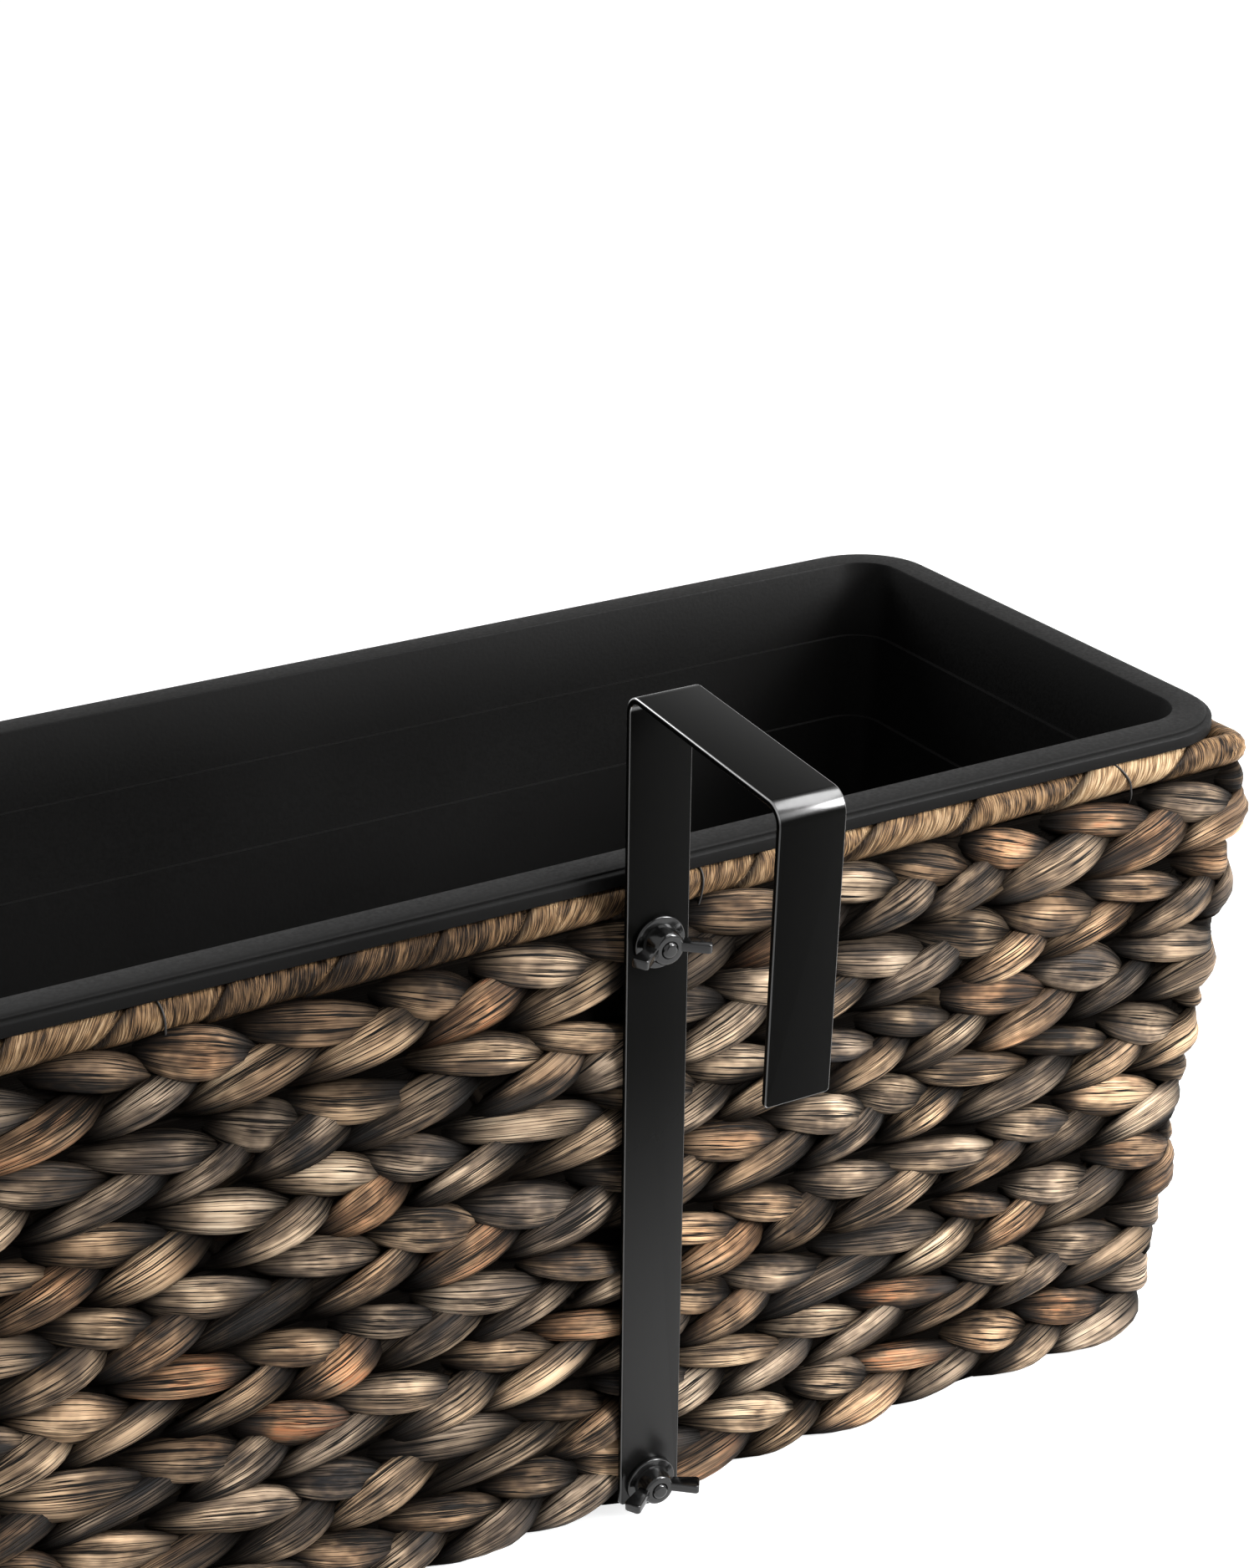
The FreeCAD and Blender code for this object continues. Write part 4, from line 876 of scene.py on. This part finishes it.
def makeLiner():
    plan = linerPlan
    piece = added(bpy.ops.mesh.primitive_plane_add, size=2, location=(0, 0, plan["rimFoot"]))
    piece.name = "linerTray"
    piece.scale = (*plan["rim"], 1)
    settle(piece)
    startEdit(piece)
    bpy.ops.mesh.select_all(action="SELECT")
    bpy.ops.mesh.bevel(offset=plan["corner"], segments=plan["cornerSteps"], affect="VERTICES")
    bpy.ops.mesh.select_all(action="SELECT")
    push((0, 0, plan["rimFace"]))
    for inward, rise in plan["rimSteps"]:
        bpy.ops.mesh.inset(thickness=inward, depth=rise)
    lip = plan["top"] - plan["lip"]
    linerWall(linerReach(lip, 0, 0), [lip, *plan["ledges"], plan["floor"] + plan["footRise"]], 0.0)
    endEdit()

    # the outer side
    pick(piece, "VERT", lambda point: abs(point.co.z - plan["rimFoot"]) < 1e-5)
    bpy.ops.mesh.inset(thickness=plan["rim"][0] - plan["mouth"][0] - plan["wall"], depth=0.0)
    levels = [plan["rimFoot"], *(ledge - plan["wall"] for ledge in plan["ledges"]), plan["foot"] + plan["footRise"]]
    linerWall([reach + plan["wall"] for reach in plan["mouth"]], levels, plan["wall"])
    endEdit()
    return finished(piece, plan["smooth"])


hand(makeLiner(), "liner", "liner_plastic", linerFinish, "liner")
print("liner done")


# hooks: one flat bar each, bent over twice

hookPlan = {
    "places": {"left": -0.1785, "right": 0.1785}, "lean": math.radians(2.8022), "line": 0.09775,
    "wide": 0.020, "thick": 0.002, "foot": 0.004, "height": 0.272, "reach": 0.078, "drop": 0.088,
    "bend": 0.005, "droop": math.radians(1.8), "bendSteps": 10, "edge": 0.0005, "corner": 0.0013, "cornerSteps": 4,
}


def makeHook():
    plan = hookPlan
    half, turn, droop = plan["thick"] / 2, plan["bend"], plan["droop"]
    firstSet = turn * math.tan((math.pi / 2 + droop) / 2)
    barRun = plan["height"] - half - firstSet - plan["foot"]
    armRun = plan["reach"] - plan["thick"] - firstSet - turn
    legRun = plan["drop"] - half - turn
    out = Vector((0, -math.cos(droop), -math.sin(droop)))
    down = Vector((0, math.sin(droop), -math.cos(droop)))
    firstCentre = Vector((0, -half - turn, plan["foot"] + barRun))
    secondCentre = firstCentre + out * armRun
    legFoot = secondCentre + out * turn + down * legRun

    # a strip without thickness first, from its lower edge upwards and over
    piece = added(bpy.ops.mesh.primitive_plane_add, size=plan["wide"])
    pick(piece, "VERT", lambda point: point.co.y > 0)
    bpy.ops.mesh.delete(type="VERT")
    bpy.ops.mesh.select_all(action="SELECT")
    bpy.ops.transform.translate(value=(0, plan["wide"] / 2 - half, plan["foot"]))
    push((0, 0, barRun))
    bpy.ops.mesh.spin(steps=plan["bendSteps"], angle=-(math.pi / 2 + droop), center=firstCentre, axis=(1, 0, 0))
    push(out * armRun)
    bpy.ops.mesh.spin(steps=plan["bendSteps"], angle=-math.pi / 2, center=secondCentre, axis=(1, 0, 0))
    push(down * legRun)
    endEdit()
    pick(piece, "VERT", lambda point: (point.co.yz - legFoot.yz).length < 1e-5
         or abs(point.co.z - plan["foot"]) < 1e-6)
    bpy.ops.mesh.bevel(offset=plan["corner"], segments=plan["cornerSteps"], affect="VERTICES")
    endEdit()
    solid = piece.modifiers.new("solid", "SOLIDIFY")
    solid.thickness, solid.offset = plan["thick"], 0.0
    roundEdges(piece, plan["edge"])
    return finished(piece)


hookModel = makeHook()
for side, place in hookPlan["places"].items():
    hook = ownCopy(hookModel, f"hookBar_{side}")
    hook.rotation_euler = (hookPlan["lean"], 0, 0)
    hook.location = (place, -hookPlan["line"], 0)
    settle(hook)
    hand(hook, "basket", "hook_paint", hookFinish, f"hook_{side}")
bpy.data.objects.remove(hookModel)
print("hooks done")


# fasteners: drawn along +Z from the back of the bar, then set on their bolts

boltPlan = {
    "heights": {"upper": 0.195, "lower": 0.0105},
    "heads": {"upper": (-0.01615, -0.01335), "lower": (-0.01567, -0.01287)},
    "end": 0.0096, "overlap": 0.0001,
}
shankPlan = {"sides": 40, "radii": (0.0025, 0.0025), "edge": 0.0012, "edgeSteps": 5}
headPlan = {"sides": 40, "radii": (0.00475, 0.00475), "edge": 0.0016, "edgeSteps": 5}
washerPlan = {"sides": 56, "radii": (0.008, 0.008), "span": (0.0021, 0.0035), "edge": 0.0005, "edgeSteps": 4,
              "bore": 0.0028}
nutPlan = {
    "sides": 48, "radii": (0.00575, 0.0047), "span": (0.0036, 0.0086), "edge": 0.0008, "edgeSteps": 4, "bore": 0.0027,
    # a wing's outline, out from the axis and along it
    "rootLow": (0.0034, 0.0043), "rootHigh": (0.0034, 0.0084), "tipHigh": (0.0104, 0.0142), "tipLow": (0.0133, 0.0096),
    "half": 0.0014, "tipRound": 0.0013, "tipSteps": 5, "soft": 0.0004,
}


def onBolt(piece, level, side):
    along, lean = boltPlan["heights"][level], hookPlan["lean"]
    piece.rotation_euler = (math.pi / 2 + lean, 0, 0)
    piece.location = (hookPlan["places"][side], -(hookPlan["line"] + along * math.sin(lean)), along * math.cos(lean))
    settle(piece)
    return piece


def turnedPiece(plan, low, high, edgeHeight):
    # round about Z between two heights, with one edge rounded
    piece = added(bpy.ops.mesh.primitive_cone_add, vertices=plan["sides"], radius1=plan["radii"][0],
                  radius2=plan["radii"][1], depth=high - low, location=(0, 0, (high + low) / 2))
    settle(piece)
    pick(piece, "VERT", lambda point: abs(point.co.z - edgeHeight) < 1e-6)
    bpy.ops.mesh.bevel(offset=plan["edge"], segments=plan["edgeSteps"])
    endEdit()
    return piece


def boredPiece(plan):
    # the same with a hole between its flat ends
    piece = turnedPiece(plan, *plan["span"], plan["span"][1])
    pick(piece, "FACE", lambda face: abs(face.normal.z) > 0.999 and len(face.vertices) > 8)
    bpy.ops.mesh.inset(thickness=plan["radii"][1] - plan["edge"] - plan["bore"], use_individual=True)
    bpy.ops.mesh.bridge_edge_loops()
    endEdit()
    return piece


def makeWing():
    plan = nutPlan
    piece = added(bpy.ops.mesh.primitive_cube_add, size=1)
    for point in piece.data.vertices:
        spot = plan[("tip" if point.co.x > 0 else "root") + ("High" if point.co.z > 0 else "Low")]
        point.co = (spot[0], math.copysign(plan["half"], point.co.y), spot[1])

    def atTip(edge):
        first, second = (piece.data.vertices[index].co for index in edge.vertices)
        return abs(first.y - second.y) > 1e-4 and first.x > plan["rootLow"][0] + 1e-4

    pick(piece, "EDGE", atTip)
    bpy.ops.mesh.bevel(offset=plan["tipRound"], segments=plan["tipSteps"])
    endEdit()
    roundEdges(piece, plan["soft"])
    return piece


def makeNut():
    right = makeWing()
    left = ownCopy(right, "leftWing")
    left.rotation_euler = (0, 0, math.pi)
    settle(left)
    return finished(joinAll([boredPiece(nutPlan), right, left]), 38)


def makeBolt(level):
    headFoot, headTop = boltPlan["heads"][level]
    shank = turnedPiece(shankPlan, headTop - boltPlan["overlap"], boltPlan["end"], boltPlan["end"])
    return finished(joinAll([shank, turnedPiece(headPlan, headFoot, headTop, headFoot)]))


washerModel, nutModel = finished(boredPiece(washerPlan)), makeNut()
bolts = []
for level in boltPlan["heights"]:
    boltModel = makeBolt(level)
    for side in hookPlan["places"]:
        which = f"{level}_{side}"
        washer = onBolt(ownCopy(washerModel, f"washer_{which}"), level, side)
        hand(washer, f"washer_{which}", "black_fasteners", boltFinish, f"outer_washer_{which}")
        nut = onBolt(ownCopy(nutModel, f"wingNut_{which}"), level, side)
        hand(nut, f"nut_{which}", "black_fasteners", boltFinish, f"wing_nut_{which}")
        bolts.append(onBolt(ownCopy(boltModel, f"bolt_{which}"), level, side))
    bpy.data.objects.remove(boltModel)
bpy.data.objects.remove(washerModel)
bpy.data.objects.remove(nutModel)
hookBolts = joinAll(bolts)
hookBolts.name = "hookBolts"
hand(hookBolts, "basket", "black_fasteners", boltFinish, "hook_bolts")
print("fasteners done")

# what stays as it is in the CAD model
for name in ("base_ring", "base_cross_rods", "corner_posts", "wall_uprights"):
    paint(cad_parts[name], rodFinish)
paint(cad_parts["inner_washers"], boltFinish)


# stage, light and camera

floorLook = {
    "size": 24, "height": -0.0005, "colour": (0.45, 0.45, 0.45, 1), "roughness": 0.9,
    "glow": (0.7, 2.4, 0.82, 1.0),      # white far from the lamps: two distances and the glow at each
}


def seenRays(tree):
    # 1 for what the camera sees, also in a gloss or through glass
    path = addNode(tree, "LightPath").outputs
    return larger(larger(path["Is Camera Ray"], path["Is Glossy Ray"]), path["Is Transmission Ray"])


def whiteFloor(look):
    floor = added(bpy.ops.mesh.primitive_plane_add, size=look["size"], location=(0, 0, look["height"]))
    floor.name = "floor"
    material, tree, shader = newMaterial("paleFloor")
    feed(shader, {"Base Color": look["colour"], "Roughness": look["roughness"]})
    spot = addNode(tree, "TexCoord").outputs["Object"]
    away = addNode(tree, "VectorMath", {0: spot}, operation="LENGTH").outputs["Value"]
    level = times(seenRays(tree), spread(away, *look["glow"]))
    glow = addNode(tree, "Emission", {"Color": (1, 1, 1, 1), "Strength": level})
    both = addNode(tree, "AddShader", {0: shader.outputs[0], 1: glow.outputs[0]})
    feed(tree.nodes["Material Output"], {"Surface": both.outputs[0]})
    paint(floor, material)


def studioWorld(strength):
    world = bpy.data.worlds.new("studio")
    bpy.context.scene.world = world
    world.use_nodes = True
    tree = world.node_tree
    tree.nodes.clear()
    level = plus(times(seenRays(tree), 1.0 - strength), strength)
    sky = addNode(tree, "Background", {"Color": (1, 1, 1, 1), "Strength": level})
    addNode(tree, "OutputWorld", {"Surface": sky.outputs[0]})


def softBox(name, place, target, size, watts, beam=180.0):
    light = bpy.data.lights.new(name, "AREA")
    light.shape = "RECTANGLE"
    light.size, light.size_y = size
    light.energy = watts
    light.spread = math.radians(beam)
    lamp = bpy.data.objects.new(name, light)
    lamp.location = place
    lamp.rotation_mode = "QUATERNION"
    lamp.rotation_quaternion = (Vector(target) - Vector(place)).to_track_quat("-Z", "Y")
    bpy.context.scene.collection.objects.link(lamp)


lights = {
    "worldStrength": 0.06,
    "boxes": [
        ("topBox", (0.85, -0.30, 1.35), (0.30, -0.05, 0.1), (1.1, 0.8), 21.0),
        ("rightBox", (1.30, -1.00, 0.85), (0.42, -0.05, 0.08), (0.6, 0.6), 6.9, 60.0),
        ("frontBox", (1.05, -1.65, 1.20), (0.30, 0.0, 0.1), (0.9, 0.7), 4.0),
        ("backBox", (-0.50, 1.80, 1.20), (-0.05, 0.0, 0.1), (1.2, 0.8), 20.0),
    ],
}
whiteFloor(floorLook)
studioWorld(lights["worldStrength"])
for box in lights["boxes"]:
    softBox(*box)

view = {
    "place": (-0.2178, -0.80105, 0.5728),
    "azimuth": math.radians(29.229), "elevation": math.radians(22.532), "roll": math.radians(-0.840),
    "focal": 3782.761,        # in pixels of the photograph
    "tall": 1876,             # the photograph's longer side in pixels
    "sensor": 36.0,
    "clip": (0.02, 60),
}


def photoCamera():
    azimuth, elevation, roll = view["azimuth"], view["elevation"], view["roll"]
    forward = Vector((math.sin(azimuth) * math.cos(elevation), math.cos(azimuth) * math.cos(elevation),
                      -math.sin(elevation)))
    level = Vector((math.cos(azimuth), -math.sin(azimuth), 0))
    fall = forward.cross(level)
    right = level * math.cos(roll) - fall * math.sin(roll)
    down = level * math.sin(roll) + fall * math.cos(roll)
    turn = Matrix((right, -down, -forward)).transposed().to_4x4()
    data = bpy.data.cameras.new("photoCamera")
    data.sensor_width = view["sensor"]
    data.lens = view["focal"] * view["sensor"] / view["tall"]
    data.clip_start, data.clip_end = view["clip"]
    camera = bpy.data.objects.new("photoCamera", data)
    bpy.context.scene.collection.objects.link(camera)
    camera.matrix_world = Matrix.Translation(view["place"]) @ turn
    bpy.context.scene.camera = camera


photoCamera()
bpy.context.scene.view_settings.view_transform = "Standard"
print("stage and camera done")
